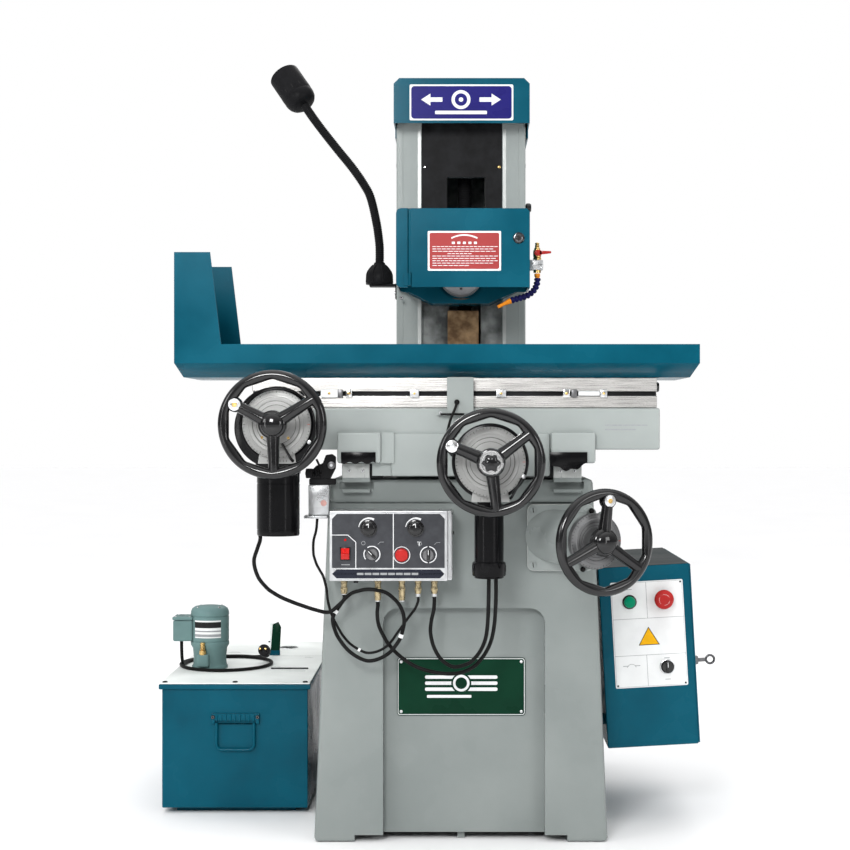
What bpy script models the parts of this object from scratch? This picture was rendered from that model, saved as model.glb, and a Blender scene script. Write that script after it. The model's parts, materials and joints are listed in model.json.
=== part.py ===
"""A manual surface grinder with its electrical cabinet and coolant tank, one object for each separate piece.

Units are metres. +Z is up, the operator stands at -Y, and the origin is on the floor under the base."""

import math

import bmesh
import bpy
from mathutils import Matrix, Vector

# Clearances
GAP = 0.0003  # between pieces that touch or slide on each other
REACH = 0.01  # how far a cutter runs past the face that it opens

# Base and cross ways
BASE_HALF_BOTTOM = 0.29
BASE_HALF_TOP = 0.26
BASE_FRONT = -0.40
BASE_BACK = 0.45
BASE_TOP = 0.716
CAST_WALL = 0.012
WAY_TOP = 0.748
WAY_FRONT = -0.432
WAYS_X = ((-0.2325, -0.1775), (0.1805, 0.2355))

# Column and its cap
COLUMN_HALF = 0.142
COLUMN_BACK = 0.26
COLUMN_TOP = 1.54
RECESS_X = (-0.0865, 0.0905)
RECESS_DEPTH = 0.02
SLOT_X = (-0.027, 0.043)
SLOT_Z = (0.80, 1.370)
COVER_SLOT_X = (-0.0308, 0.0528)
SCREW_AXIS = (0.008, 0.08)
CAP_X = (-0.1455, 0.1485)
CAP_Y = (-0.07, 0.2655)
CAP_Z = (1.4749, 1.5721)
CAP_CHAMFER = 0.012
CAP_SHEET = 0.003

# Saddle and table
SADDLE_BOTTOM = WAY_TOP + GAP
SADDLE_FRONT = -0.44
SADDLE_TOP = 0.8557
TABLE_X = (-0.408, 0.383)
TABLE_Y = (-0.43, -0.17)
TABLE_TOP = 0.9155
BED_X = (-0.24, 0.22)
BED_Y = (-0.386, -0.234)
BED_TOP = 0.965
DOG_SLOT_Z = (0.8795, 0.8885)

# Splash tray
TRAY_X = (-0.5543, 0.4616)
TRAY_Y = (-0.47, -0.15)
TRAY_Z = (0.9423, 0.979)
TRAY_FLOOR = TABLE_TOP + GAP
TRAY_SHEET = 0.003
UPSTAND_TOP = 1.1567

# Head and wheel guard
SPINDLE_Z = 1.127
HEAD_X = (-0.12, 0.122)
HEAD_Z = (1.084, 1.246)
GUARD_X = (-0.1293, 0.1372)
GUARD_Y = (-0.37, -0.245)
GUARD_Z = (1.096, 1.2541)
GUARD_SHEET = 0.004
DOOR_HINGE_X = -0.102
DOOR_HINGE_Y = -0.3715

# Handwheels
WHEEL_RADIUS = 0.10
RIM_RADIUS = 0.0095
BOSS_RADIUS_AT = 0.0775
LEFT_WHEEL = (-0.345, -0.65, 0.8235)
CENTRE_WHEEL = (0.055, -0.65, 0.7535)
RIGHT_WHEEL = (0.266, -0.61, 0.605)
RIGHT_WHEEL_YAW = math.radians(23)

# Control box
BOX_X = (-0.2525, -0.0259)
BOX_Z = (0.5231, 0.6575)
BOX_FRONT = -0.49
GLANDS = (  # X and lowest Z of each gland
    (-0.2274, 0.4928), (-0.1618, 0.4792), (-0.1150, 0.4792), (-0.0834, 0.4889), (-0.0518, 0.4889)
)
GLAND_Y = -0.445

# Electrical cabinet, measured from its top left front corner and rolled to follow the side of the base
CABINET_CORNER = (0.2818, -0.25, 0.5284)
CABINET_ROLL = math.radians(-3.2)
CABINET_SIZE = (0.187, 0.46, 0.372)
CABINET_SHEET = 0.003

# Coolant tank
TANK_X = (-0.6339, -0.3250)
TANK_Y = (-0.14, 0.56)
TANK_Z = (0.0110, 0.2735)
TANK_SHEET = 0.003
PUMP_AT = (-0.565, 0.09)

LAMP_AT = (-0.183, 0.08)

# Cables
CABLE_RADIUS = 0.0037
THIN_CABLE_RADIUS = 0.0026


def new_collection(name, helpers=False):
    made = bpy.data.collections.new(name)
    bpy.context.scene.collection.children.link(made)
    made.hide_render = helpers
    return made


for old in list(bpy.data.objects):
    bpy.data.objects.remove(old)
PARTS = new_collection("surface_grinder")
CUTTERS = new_collection("cutters", helpers=True)


def paint(name, colour, roughness, metallic=0.0):
    material = bpy.data.materials.new(name)
    material.use_nodes = True
    shader = material.node_tree.nodes["Principled BSDF"]
    shader.inputs["Base Color"].default_value = (*colour, 1.0)
    shader.inputs["Roughness"].default_value = roughness
    shader.inputs["Metallic"].default_value = metallic
    return material


CASTING = paint("casting_grey", (0.36, 0.41, 0.39), 0.35)
TEAL = paint("teal_enamel", (0.012, 0.13, 0.18), 0.3)
BLACK = paint("black_gloss", (0.01, 0.01, 0.01), 0.2)
MATT_BLACK = paint("matt_black", (0.02, 0.02, 0.02), 0.6)
STEEL = paint("ground_steel", (0.62, 0.62, 0.61), 0.3, 1.0)
DIAL = paint("satin_dial", (0.55, 0.56, 0.57), 0.35, 0.9)
CHROME = paint("chrome", (0.8, 0.8, 0.8), 0.12, 1.0)
PANEL = paint("dark_panel", (0.06, 0.06, 0.065), 0.45)
SILVER = paint("silver_paint", (0.5, 0.5, 0.5), 0.35, 0.6)
WHITE = paint("white_enamel", (0.8, 0.81, 0.8), 0.35)
GREEN_PLATE = paint("green_plate", (0.006, 0.05, 0.028), 0.3)
RED = paint("red_plastic", (0.55, 0.02, 0.02), 0.3)
GREEN = paint("green_plastic", (0.0, 0.25, 0.12), 0.3)
FIBRE = paint("brown_fibre", (0.30, 0.17, 0.08), 0.8)
BRASS = paint("brass", (0.65, 0.45, 0.18), 0.3, 1.0)
BLUE_HOSE = paint("blue_hose", (0.01, 0.012, 0.09), 0.4)
PUMP_TEAL = paint("pump_teal", (0.12, 0.32, 0.34), 0.35)
RUBBER = paint("cable_rubber", (0.012, 0.012, 0.012), 0.5)


def add(name, data, look=None, place=None, parent=None):
    """Puts an object in the scene. One without a look is a Boolean's helper and goes with the cutters."""
    obj = bpy.data.objects.new(name, data)
    obj.matrix_local = place or Matrix()
    obj.parent = parent
    if look:
        data.materials.append(look)
        PARTS.objects.link(obj)
    else:
        CUTTERS.objects.link(obj)
        obj.hide_render = True
        obj.display_type = "WIRE"
    return obj


def from_bmesh(name, bm, look, bevel=0.0, smooth=False, pivot=(0, 0, 0), parent=None):
    """An object whose origin is pivot, from a bmesh in its parent's coordinates."""
    bmesh.ops.translate(bm, verts=bm.verts, vec=-Vector(pivot))
    bmesh.ops.recalc_face_normals(bm, faces=bm.faces)
    mesh = bpy.data.meshes.new(name)
    bm.to_mesh(mesh)
    bm.free()
    for face in mesh.polygons:
        face.use_smooth = smooth and len(face.vertices) == 4
    obj = add(name, mesh, look, Matrix.Translation(pivot), parent)
    if bevel:
        edge = obj.modifiers.new("edges", "BEVEL")
        edge.width = bevel
        edge.segments = 2
        edge.limit_method = "ANGLE"
    return obj


def block(name, x, y, z, look=None, **options):
    """A box between two corners, given as its range along each axis."""
    low, high = (Vector(corner) for corner in zip(x, y, z))
    bm = bmesh.new()
    place = Matrix.LocRotScale((low + high) / 2, None, high - low)
    bmesh.ops.create_cube(bm, size=1.0, matrix=place)
    return from_bmesh(name, bm, look, **options)


def tapered(name, x, y, z, inset, look=None, **options):
    """A box whose top, or bottom where z runs downwards, is smaller by inset (left, right, front, back)."""
    bm = bmesh.new()
    low, high = (Vector(corner) for corner in zip(x, y, z))
    bmesh.ops.create_cube(bm, size=1.0, matrix=Matrix.LocRotScale((low + high) / 2, None, high - low))
    left, right, front, back = inset
    for vert in bm.verts:
        if abs(vert.co.z - z[1]) < abs(vert.co.z - z[0]):
            vert.co.x += left if vert.co.x < sum(x) / 2 else -right
            vert.co.y += front if vert.co.y < sum(y) / 2 else -back
    return from_bmesh(name, bm, look, **options)


def rod(name, start, end, radius, look=None, end_radius=None, sides=24, **options):
    """A cylinder, or a cone where the radius at its end differs."""
    start, end = Vector(start), Vector(end)
    turn = (end - start).to_track_quat("Z", "Y")
    bm = bmesh.new()
    bmesh.ops.create_cone(
        bm,
        cap_ends=True,
        segments=sides,
        radius1=radius,
        radius2=radius if end_radius is None else end_radius,
        depth=(end - start).length,
        matrix=Matrix.LocRotScale((start + end) / 2, turn, None),
    )
    return from_bmesh(name, bm, look, smooth=True, **options)


def turned(name, profile, base, axis, look=None, sides=32, closed=False, parent=None):
    """A profile of (radius, height) points, listed down the outside, turned about the axis through base."""
    mesh = bpy.data.meshes.new(name)
    last = len(profile) - 1
    edges = [(i, i + 1) for i in range(last)] + ([(last, 0)] if closed else [])
    mesh.from_pydata([(radius, 0.0, height) for radius, height in profile], edges, [])
    place = Matrix.LocRotScale(base, Vector(axis).to_track_quat("Z", "Y"), None)
    obj = add(name, mesh, look, place, parent)
    screw = obj.modifiers.new("turn", "SCREW")
    screw.steps = sides
    screw.render_steps = sides
    screw.use_merge_vertices = True
    screw.merge_threshold = 0.00001
    return obj


def ring(name, major, minor, look=None, height=0.0, parent=None, major_sides=36, minor_sides=8):
    """A torus about its parent's Z axis."""
    bpy.ops.mesh.primitive_torus_add(
        major_radius=major, minor_radius=minor, major_segments=major_sides, minor_segments=minor_sides
    )
    made = bpy.context.object
    mesh = made.data
    bpy.data.objects.remove(made)
    mesh.name = name
    for face in mesh.polygons:
        face.use_smooth = True
    return add(name, mesh, look, Matrix.Translation((0, 0, height)), parent)


def cut(target, *tools):
    for tool in tools:
        combine(target, tool, "DIFFERENCE")


def join(target, *tools):
    for tool in tools:
        combine(target, tool, "UNION")


def combine(target, tool, operation):
    boolean = target.modifiers.new(tool.name, "BOOLEAN")
    boolean.operation = operation
    boolean.solver = "EXACT"
    boolean.object = tool


def empty(name, place, turn=(0, 0, 0)):
    made = bpy.data.objects.new(name, None)
    PARTS.objects.link(made)
    made.location = place
    made.rotation_euler = turn
    return made


def curve_data(name, points, cyclic, dimensions):
    data = bpy.data.curves.new(name, "CURVE")
    data.dimensions = dimensions
    spline = data.splines.new("POLY")
    spline.points.add(len(points) - 1)
    for target, point in zip(spline.points, points):
        target.co = (*point, 0.0, 1.0)[:4] if len(point) == 2 else (*point, 1.0)
    spline.use_cyclic_u = cyclic
    return data


def as_mesh(obj, look=None):
    """A curve's evaluated mesh as an object of its own, which a Boolean can use."""
    bpy.context.view_layer.update()
    graph = bpy.context.evaluated_depsgraph_get()
    mesh = bpy.data.meshes.new_from_object(obj.evaluated_get(graph))
    name, place, parent = obj.name, obj.matrix_local.copy(), obj.parent
    bpy.data.objects.remove(obj)
    bm = bmesh.new()
    bm.from_mesh(mesh)
    bmesh.ops.remove_doubles(bm, verts=bm.verts, dist=0.00001)
    bm.to_mesh(mesh)
    bm.free()
    mesh.materials.clear()
    return add(name, mesh, look, place, parent)


def plate(name, outline, y, look=None, parent=None):
    """A flat piece with an outline of (x, z) points, between two depths along Y."""
    data = curve_data(name, outline, True, "2D")
    data.fill_mode = "BOTH"
    data.extrude = abs(y[1] - y[0]) / 2
    place = Matrix.Translation((0, sum(y) / 2, 0)) @ Matrix.Rotation(math.pi / 2, 4, "X")
    return as_mesh(add(name, data, None, place, parent), look)


def rounded(x, z, radius, steps=3):
    """The outline of a rectangle with round corners, anticlockwise."""
    points = []
    for corner, (cx, cz) in enumerate(
        ((x[1] - radius, z[1] - radius), (x[0] + radius, z[1] - radius),
         (x[0] + radius, z[0] + radius), (x[1] - radius, z[0] + radius))
    ):
        for step in range(steps + 1):
            angle = (corner + step / steps) * math.pi / 2
            points.append((cx + radius * math.cos(angle), cz + radius * math.sin(angle)))
    return points


def tube(name, points, radius, look=None, resolution=2, parent=None):
    data = curve_data(name, points, False, "3D")
    data.bevel_depth = radius
    data.bevel_resolution = resolution
    data.use_fill_caps = True
    return add(name, data, look, None, parent)


def smooth_route(stops, spacing):
    """Points about a spacing apart on one smooth curve through the stops."""
    stops = [Vector(stop) for stop in stops]
    ends = [2 * stops[0] - stops[1], *stops, 2 * stops[-1] - stops[-2]]
    points = []
    for before, start, end, after in zip(ends, ends[1:], ends[2:], ends[3:]):
        count = max(1, round((end - start).length / spacing))
        for step in range(count):
            t = step / count
            points.append(
                0.5 * (2 * start + (end - before) * t + (2 * before - 5 * start + 4 * end - after) * t * t
                       + (3 * start - before - 3 * end + after) * t ** 3)
            )
    return [tuple(point) for point in (*points, stops[-1])]


def grown(span, by):
    return span[0] - by, span[1] + by


def base():
    """The hollow base casting, with its front lip, recessed front panel, inner ribs and cross ways."""
    side = BASE_HALF_BOTTOM - BASE_HALF_TOP
    half = (-BASE_HALF_BOTTOM, BASE_HALF_BOTTOM)
    casting = tapered(
        "base_casting", half, (BASE_FRONT, BASE_BACK), (0, BASE_TOP), (side, side, 0, 0), CASTING, bevel=0.008
    )
    wide = (-BASE_HALF_BOTTOM + CAST_WALL, BASE_HALF_BOTTOM - CAST_WALL)
    inside = tapered(
        "base_inside", wide, (-0.352, BASE_BACK - CAST_WALL), (-REACH, BASE_TOP - CAST_WALL),
        (side, side, 0, 0)
    )
    cut(casting, inside)
    for number, (x0, x1) in enumerate(((-0.245, -0.172), (0.185, 0.245))):
        cut(casting, block(f"base_pocket_{number}", (x0, x1), (BASE_FRONT + CAST_WALL, -0.34), (0.02, 0.64)))
    panel = plate("base_panel_recess", rounded((-0.1538, 0.1656), (-0.1, 0.4618), 0.03, 4), (-0.45, -0.372))
    cut(casting, panel)
    toe = block("base_toe_recess", (-0.21, 0.21), (-0.45, -0.34), (-REACH, 0.014))
    cut(casting, toe)
    lip = block("base_lip", (-0.259, 0.259), (-0.412, -0.33), (0.6685, BASE_TOP + 0.002), bevel=0.011)
    join(casting, lip)
    for number, x in enumerate(WAYS_X):
        join(casting, block(f"base_way_{number}", x, (WAY_FRONT, -0.04), (0.69, WAY_TOP), bevel=0.002))
        cut(casting, block(f"base_way_pocket_{number}", grown(x, 0.006), (-0.45, -0.404), (0.697, 0.711)))
    ribs = (
        block("base_rib_across", grown(half, -0.01), (-0.007, 0.007), (0, 0.10)),
        block("base_rib_along", (-0.007, 0.007), (-0.36, 0.44), (0, 0.09)),
        block("base_rib_under_column", (-0.254, 0.254), (-0.007, 0.007), (0.55, 0.71)),
    )
    join(casting, *ribs)

    plate_y = (-0.3745, -0.3723)
    plate("nameplate", rounded((-0.1269, 0.1279), (0.2456, 0.3606), 0.006), plate_y, GREEN_PLATE)

    outline = rounded((0.1297, 0.2604), (0.5356, 0.6675), 0.012)
    cover = plate("feed_cover_plate", outline, (-0.413, -0.4003), CASTING)
    cut(cover, rod("feed_cover_bore", (0.19, -0.5, 0.605), (0.19, -0.35, 0.605), 0.035))


def elevating_drive():
    """The yawed gearbox that carries the vertical handwheel, on the cover plate."""
    frame = empty("vertical_feed_frame", RIGHT_WHEEL, (math.pi / 2, 0, RIGHT_WHEEL_YAW))
    drum = ((0, -0.0475), (0.050, -0.0475), (0.052, -0.0495), (0.052, -0.26), (0, -0.26))
    gearbox = turned("elevating_gearbox", drum, (0, 0, 0), (0, 0, 1), CASTING, parent=frame)
    for angle in (92, 58, 249):
        across, up = 0.052 * math.cos(math.radians(angle)), 0.052 * math.sin(math.radians(angle))
        lug = rod(f"gearbox_lug_{angle}", (across, up, -0.050), (across, up, -0.066), 0.010, sides=16,
            parent=frame)
        join(gearbox, lug)
    cut(gearbox, block("gearbox_face", (0, 0.5), (-0.4133, 0), (0.4, 0.8)))
    cut(gearbox, rod("gearbox_bore", (0, 0, 0.02), (0, 0, -0.12), 0.0105, parent=frame))
    wheel_and_dial("right_handwheel", "vertical_dial", frame, 0.051, (-0.0305, -0.0472), -0.11, 85)


def wheel_and_dial(wheel_name, dial_name, frame, dial_radius, dial_z, shaft_end, boss_angle):
    """A three-spoke handwheel and the graduated dial with its shaft, about the frame's Z axis."""
    hub = (
        (0, 0.017), (0.014, 0.015), (0.022, 0.007), (0.024, 0), (0.024, -0.012), (0.017, -0.022), (0, -0.022)
    )
    wheel = turned(wheel_name, hub, (0, 0, 0), (0, 0, 1), BLACK, parent=frame, sides=24)
    join(wheel, ring(wheel_name + "_rim", WHEEL_RADIUS - RIM_RADIUS, RIM_RADIUS, parent=frame))
    for spoke in range(3):
        angle = math.radians(boss_angle + 120 * spoke)
        out = Vector((math.cos(angle), math.sin(angle), 0))
        inner = 0.012 * out + Vector((0, 0, -0.006))
        arm = rod(
            f"{wheel_name}_spoke_{spoke}", inner, 0.091 * out, 0.0115, end_radius=0.0085, sides=12,
            parent=frame
        )
        join(wheel, arm)
        if spoke == 0:
            at = BOSS_RADIUS_AT * out
            rise = Vector((0, 0, 0.0105))
            join(wheel, rod(wheel_name + "_boss", at - rise, at + rise, 0.014, sides=20, parent=frame))
    top = -0.022 - GAP
    dial_profile = (
        (0, top), (0.014, top), (0.014, dial_z[0]), (dial_radius - 0.002, dial_z[0]),
        (dial_radius, dial_z[0] - 0.002), (dial_radius, dial_z[1]), (0.01, dial_z[1]),
        (0.01, shaft_end), (0, shaft_end),
    )
    turned(dial_name, dial_profile, (0, 0, 0), (0, 0, 1), DIAL, parent=frame, sides=40)


def column():
    """The column casting with its front recess and slot, the cap, the two covers and the elevating screw."""
    half = (-COLUMN_HALF, COLUMN_HALF)
    casting = block("column_casting", half, (0, COLUMN_BACK), (BASE_TOP + GAP, COLUMN_TOP), CASTING,
        bevel=0.004)
    wall = COLUMN_BACK - CAST_WALL
    cut(casting,
        block("column_inside", grown(half, -CAST_WALL), (RECESS_DEPTH + CAST_WALL, wall), (0.735, 1.52)))
    cut(casting, block("column_recess", RECESS_X, (-0.05, RECESS_DEPTH), (0.78, 1.6)))
    cut(casting, block("column_slot", SLOT_X, (0, 0.1), SLOT_Z))
    cut(casting, block("column_slot_top", COVER_SLOT_X, (0, 0.1), (1.10, SLOT_Z[1])))

    cap = plate("column_cap", cap_section(CAP_X, CAP_Z, CAP_CHAMFER), CAP_Y, TEAL)
    skirt = block("cap_skirt", CAP_X, (0.02, CAP_Y[1]), (1.456, 1.50), bevel=0.001)
    join(cap, skirt)
    hollow = cap_section(grown(CAP_X, -CAP_SHEET), (1.4, CAP_Z[1] - CAP_SHEET), CAP_CHAMFER - CAP_SHEET / 2)
    cut(cap, plate("cap_inside", hollow, grown(CAP_Y, -CAP_SHEET)))

    cover = block("way_cover", (-0.0860, 0.0900), (0.002, 0.005), (1.10, 1.505), MATT_BLACK)
    cut(cover, block("way_cover_slot", COVER_SLOT_X, (-0.05, 0.05), (1.0, 1.3682)))
    block("screw_cover", (-0.0295, 0.0389), (0.012, 0.017), (0.7805, 1.075), FIBRE, bevel=0.001)
    screw_profile = ((0, 1.45), (0.012, 1.45), (0.012, 1.42), (0.016, 1.42), (0.016, 0.80), (0.012, 0.80),
                     (0.012, 0.737), (0, 0.737))
    turned("elevating_screw", screw_profile, (*SCREW_AXIS, 0), (0, 0, 1), STEEL, sides=16)


def cap_section(x, z, chamfer):
    """The front outline of the cap, whose two upper corners are cut off."""
    return (
        (x[0], z[0]), (x[1], z[0]), (x[1], z[1] - chamfer), (x[1] - chamfer, z[1]), (x[0] + chamfer, z[1]),
        (x[0], z[1] - chamfer),
    )


def head():
    """The head casting, the spindle with its rotor, the wheel guard and its door, and the coolant valve."""
    casting = plate("head_casting", head_section(HEAD_X, HEAD_Z, 0.030), (-0.2447, -0.03), TEAL)
    join(casting,
        plate("head_carriage", head_section((-0.139, 0.139), (1.084, 1.25), 0.038), (-0.034, -0.0005)))
    cut(casting, rod("head_bore", (0, -0.226, SPINDLE_Z), (0, -0.05, SPINDLE_Z), 0.036, sides=32))
    cut(casting, rod("head_nose_bore", (0, -0.3, SPINDLE_Z), (0, -0.1, SPINDLE_Z), 0.0203))
    cut(casting, block("head_inside", (-0.10, 0.102), (-0.225, -0.05), (1.175, 1.232)))
    cut(casting, block("head_chimney", (-0.03, 0.03), (-0.20, -0.06), (1.13, 1.18)))
    cut(casting, rod("head_drain", (0.06, -0.12, 1.2), (0.06, -0.12, 1.0), 0.008))
    arm = block("head_nut_arm", (-0.018, 0.034), (-0.02, 0.11), (1.117, 1.152))
    join(casting, arm)
    cut(casting, rod("head_nut_bore", (*SCREW_AXIS, 1.0), (*SCREW_AXIS, 1.3), 0.0165, sides=24))

    spindle_profile = (
        (0, 0.355), (0.009, 0.355), (0.010, 0.353), (0.010, 0.334), (0.020, 0.334), (0.020, 0.327),
        (0.042, 0.325),
        (0.044, 0.323), (0.044, 0.312), (0.040, 0.310), (0.040, 0.290), (0.044, 0.288), (0.044, 0.278),
        (0.020, 0.274), (0.020, 0.222), (0.0345, 0.220), (0.0345, 0.075), (0.012, 0.075), (0.012, 0.055),
        (0, 0.055),
    )
    turned("spindle", spindle_profile, (0, 0, SPINDLE_Z), (0, -1, 0), STEEL)

    guard()
    coolant_valve()


def head_section(x, z, rise):
    """A front outline whose two lower corners are cut off, twice as wide as they are high."""
    return (
        (x[0], z[1]), (x[0], z[0] + rise), (x[0] + 2 * rise, z[0]), (x[1] - 2 * rise, z[0]),
        (x[1], z[0] + rise),
        (x[1], z[1]),
    )


def guard():
    """The sheet guard with its deeper back wall, the hinged front door and its quarter-turn latch."""
    low = ((-0.0597, 1.0725), (0.0555, 1.0725), (GUARD_X[1], 1.1065))
    right = ((GUARD_X[1], GUARD_Z[1] - 0.007), (GUARD_X[1] - 0.007, GUARD_Z[1]))
    left = rounded(GUARD_X, GUARD_Z, 0.010)
    top_left, bottom_left = left[4:8], left[8:12]
    shell = plate(
        "guard_shell", (*low, *right, *top_left, (GUARD_X[0], 1.1065)),
        (GUARD_Y[1] - 0.0065, GUARD_Y[1] - GAP), TEAL
    )
    face = (*top_left, *bottom_left, (GUARD_X[1], GUARD_Z[0]), *right)
    box = plate("guard_box", face, (GUARD_Y[0] + 0.0001, GUARD_Y[1] - 0.003))
    hollow = block(
        "guard_hollow", grown(GUARD_X, -GUARD_SHEET), (-0.366, -0.251), (1.0, GUARD_Z[1] - GUARD_SHEET)
    )
    cut(box, hollow)
    cut(box, block("guard_doorway", (DOOR_HINGE_X - 0.004, 0.2), (-0.4, -0.3655), (1.0, 1.3)))
    join(shell, box)
    cut(shell, rod("guard_bore", (0, -0.3, SPINDLE_Z), (0, -0.2, SPINDLE_Z), 0.0475, sides=32))
    hinge = (DOOR_HINGE_X, DOOR_HINGE_Y)
    knuckle = rod("guard_knuckle", (*hinge, 1.10), (*hinge, 1.125), 0.0028, sides=12)
    leaf_y = (DOOR_HINGE_Y, DOOR_HINGE_Y + 0.003)
    leaf = block("guard_hinge_leaf", (-0.114, DOOR_HINGE_X), leaf_y, (1.10, 1.125))
    join(shell, knuckle, leaf)

    pivot = (DOOR_HINGE_X, DOOR_HINGE_Y, 1.17)
    door = block("guard_door", (DOOR_HINGE_X + 0.001, 0.1368), (-0.3735, -0.3703), (1.0965, 1.2535), TEAL,
                 bevel=0.0012, pivot=pivot)
    barrel = rod("door_barrel", (*hinge, 1.1255), (*hinge, 1.25), 0.0026, sides=12)
    corner = ((0.1288, 1.2550), (0.1388, 1.2450), (0.1388, 1.2550))
    cut(door, plate("door_corner", corner, (-0.40, -0.36)))
    cut(door,
        block("door_knuckle_gap", (DOOR_HINGE_X - 0.01, DOOR_HINGE_X + 0.004), (-0.4, -0.36), (1.09, 1.1255)))
    join(door, barrel)
    cut(door, rod("latch_bore", (0.1147, -0.4, 1.194), (0.1147, -0.3, 1.194), 0.0063, sides=20))
    latch_profile = ((0, 0.379), (0.009, 0.3785), (0.0112, 0.3755), (0.0112, 0.3739), (0.0058, 0.3738),
                     (0.0058, 0.363), (0, 0.363))
    latch = turned("door_latch", latch_profile, (0.1147, 0, 1.194), (0, -1, 0), CHROME, sides=20)
    tongue = block("latch_tongue", (0.1095, 0.1300), (-0.3652, -0.3632), (1.1895, 1.1985))
    join(latch, tongue)


def coolant_valve():
    """The brass ball valve clamped on the right of the guard, its lever and the segmented nozzle."""
    at = (0.1545, -0.30)
    clamp_x = (GUARD_X[1] + GAP, 0.166)
    valve = block("coolant_valve", clamp_x, (-0.312, -0.288), (1.136, 1.157), BRASS, bevel=0.002)
    join(valve, rod("valve_body", (*at, 1.13), (*at, 1.183), 0.0075, sides=16))
    join(valve, rod("valve_barb", (*at, 1.18), (*at, 1.1925), 0.0045, sides=12))
    join(valve, rod("valve_stem", (at[0], -0.306, 1.170), (at[0], -0.3165, 1.170), 0.003, sides=12))
    pivot = (at[0], -0.317, 1.170)
    lever = block("valve_lever", (at[0] - 0.005, at[0] + 0.028), (-0.3195, -0.3168), (1.1665, 1.1735), RED,
                  bevel=0.0008, pivot=pivot)
    join(lever, rod("lever_eye", (at[0], -0.3195, 1.17), (at[0], -0.3168, 1.17), 0.0065, sides=16))
    stops = (
        (*at, 1.1292), (0.1545, -0.301, 1.112), (0.148, -0.304, 1.096), (0.133, -0.308, 1.084),
        (0.113, -0.313, 1.0775), (0.0988, -0.317, 1.0727), (0.0744, -0.323, 1.0605),
    )
    tube("coolant_nozzle", smooth_route(stops, 0.012), 0.006, BLUE_HOSE)


def saddle():
    """The saddle on the cross ways, hollow underneath, with the plate that carries the table sensor."""
    casting = block(
        "saddle_casting", (-0.41, 0.3878), (SADDLE_FRONT, -0.15), (0.7745, SADDLE_TOP), CASTING, bevel=0.004
    )
    wings = ((-0.395, -0.262), (-0.143, 0.165), (0.275, 0.373))
    join(
        casting,
        block("saddle_left_block", (-0.2402, -0.155), (-0.46, -0.16), (SADDLE_BOTTOM, 0.809), bevel=0.005),
        block("saddle_right_block", (0.1743, 0.2610), (-0.46, -0.16), (SADDLE_BOTTOM, 0.809), bevel=0.005),
        block("saddle_apron", (-0.1364, 0.1734), (-0.4455, -0.162), (0.7225, 0.807), bevel=0.005),
        block("saddle_left_web", (-0.16, -0.13), (-0.4500, -0.165), (SADDLE_BOTTOM, 0.808)),
        block("saddle_left_gib", (-0.173, -0.13), (-0.4385, -0.170), (0.7235, 0.780)),
    )
    for number, x in enumerate(wings):
        cut(casting, block(f"saddle_pocket_{number}", x, (-0.422, -0.168), (0.7, 0.836)))
    cut(casting, *(
        rod(f"saddle_bore_{number}", (x, -0.5, z), (x, -0.35, z), 0.0105)
        for number, (x, y, z) in enumerate((LEFT_WHEEL, CENTRE_WHEEL))
    ))

    bracket = block("sensor_bracket", (-0.0272, 0.0244), (-0.4550, -0.4520), (0.8450, 0.9157), CASTING,
        bevel=0.0008)
    foot = block("sensor_foot", (-0.046, 0.027), (-0.4535, SADDLE_FRONT - GAP), (0.8415, 0.8500))
    join(bracket, foot)


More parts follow.
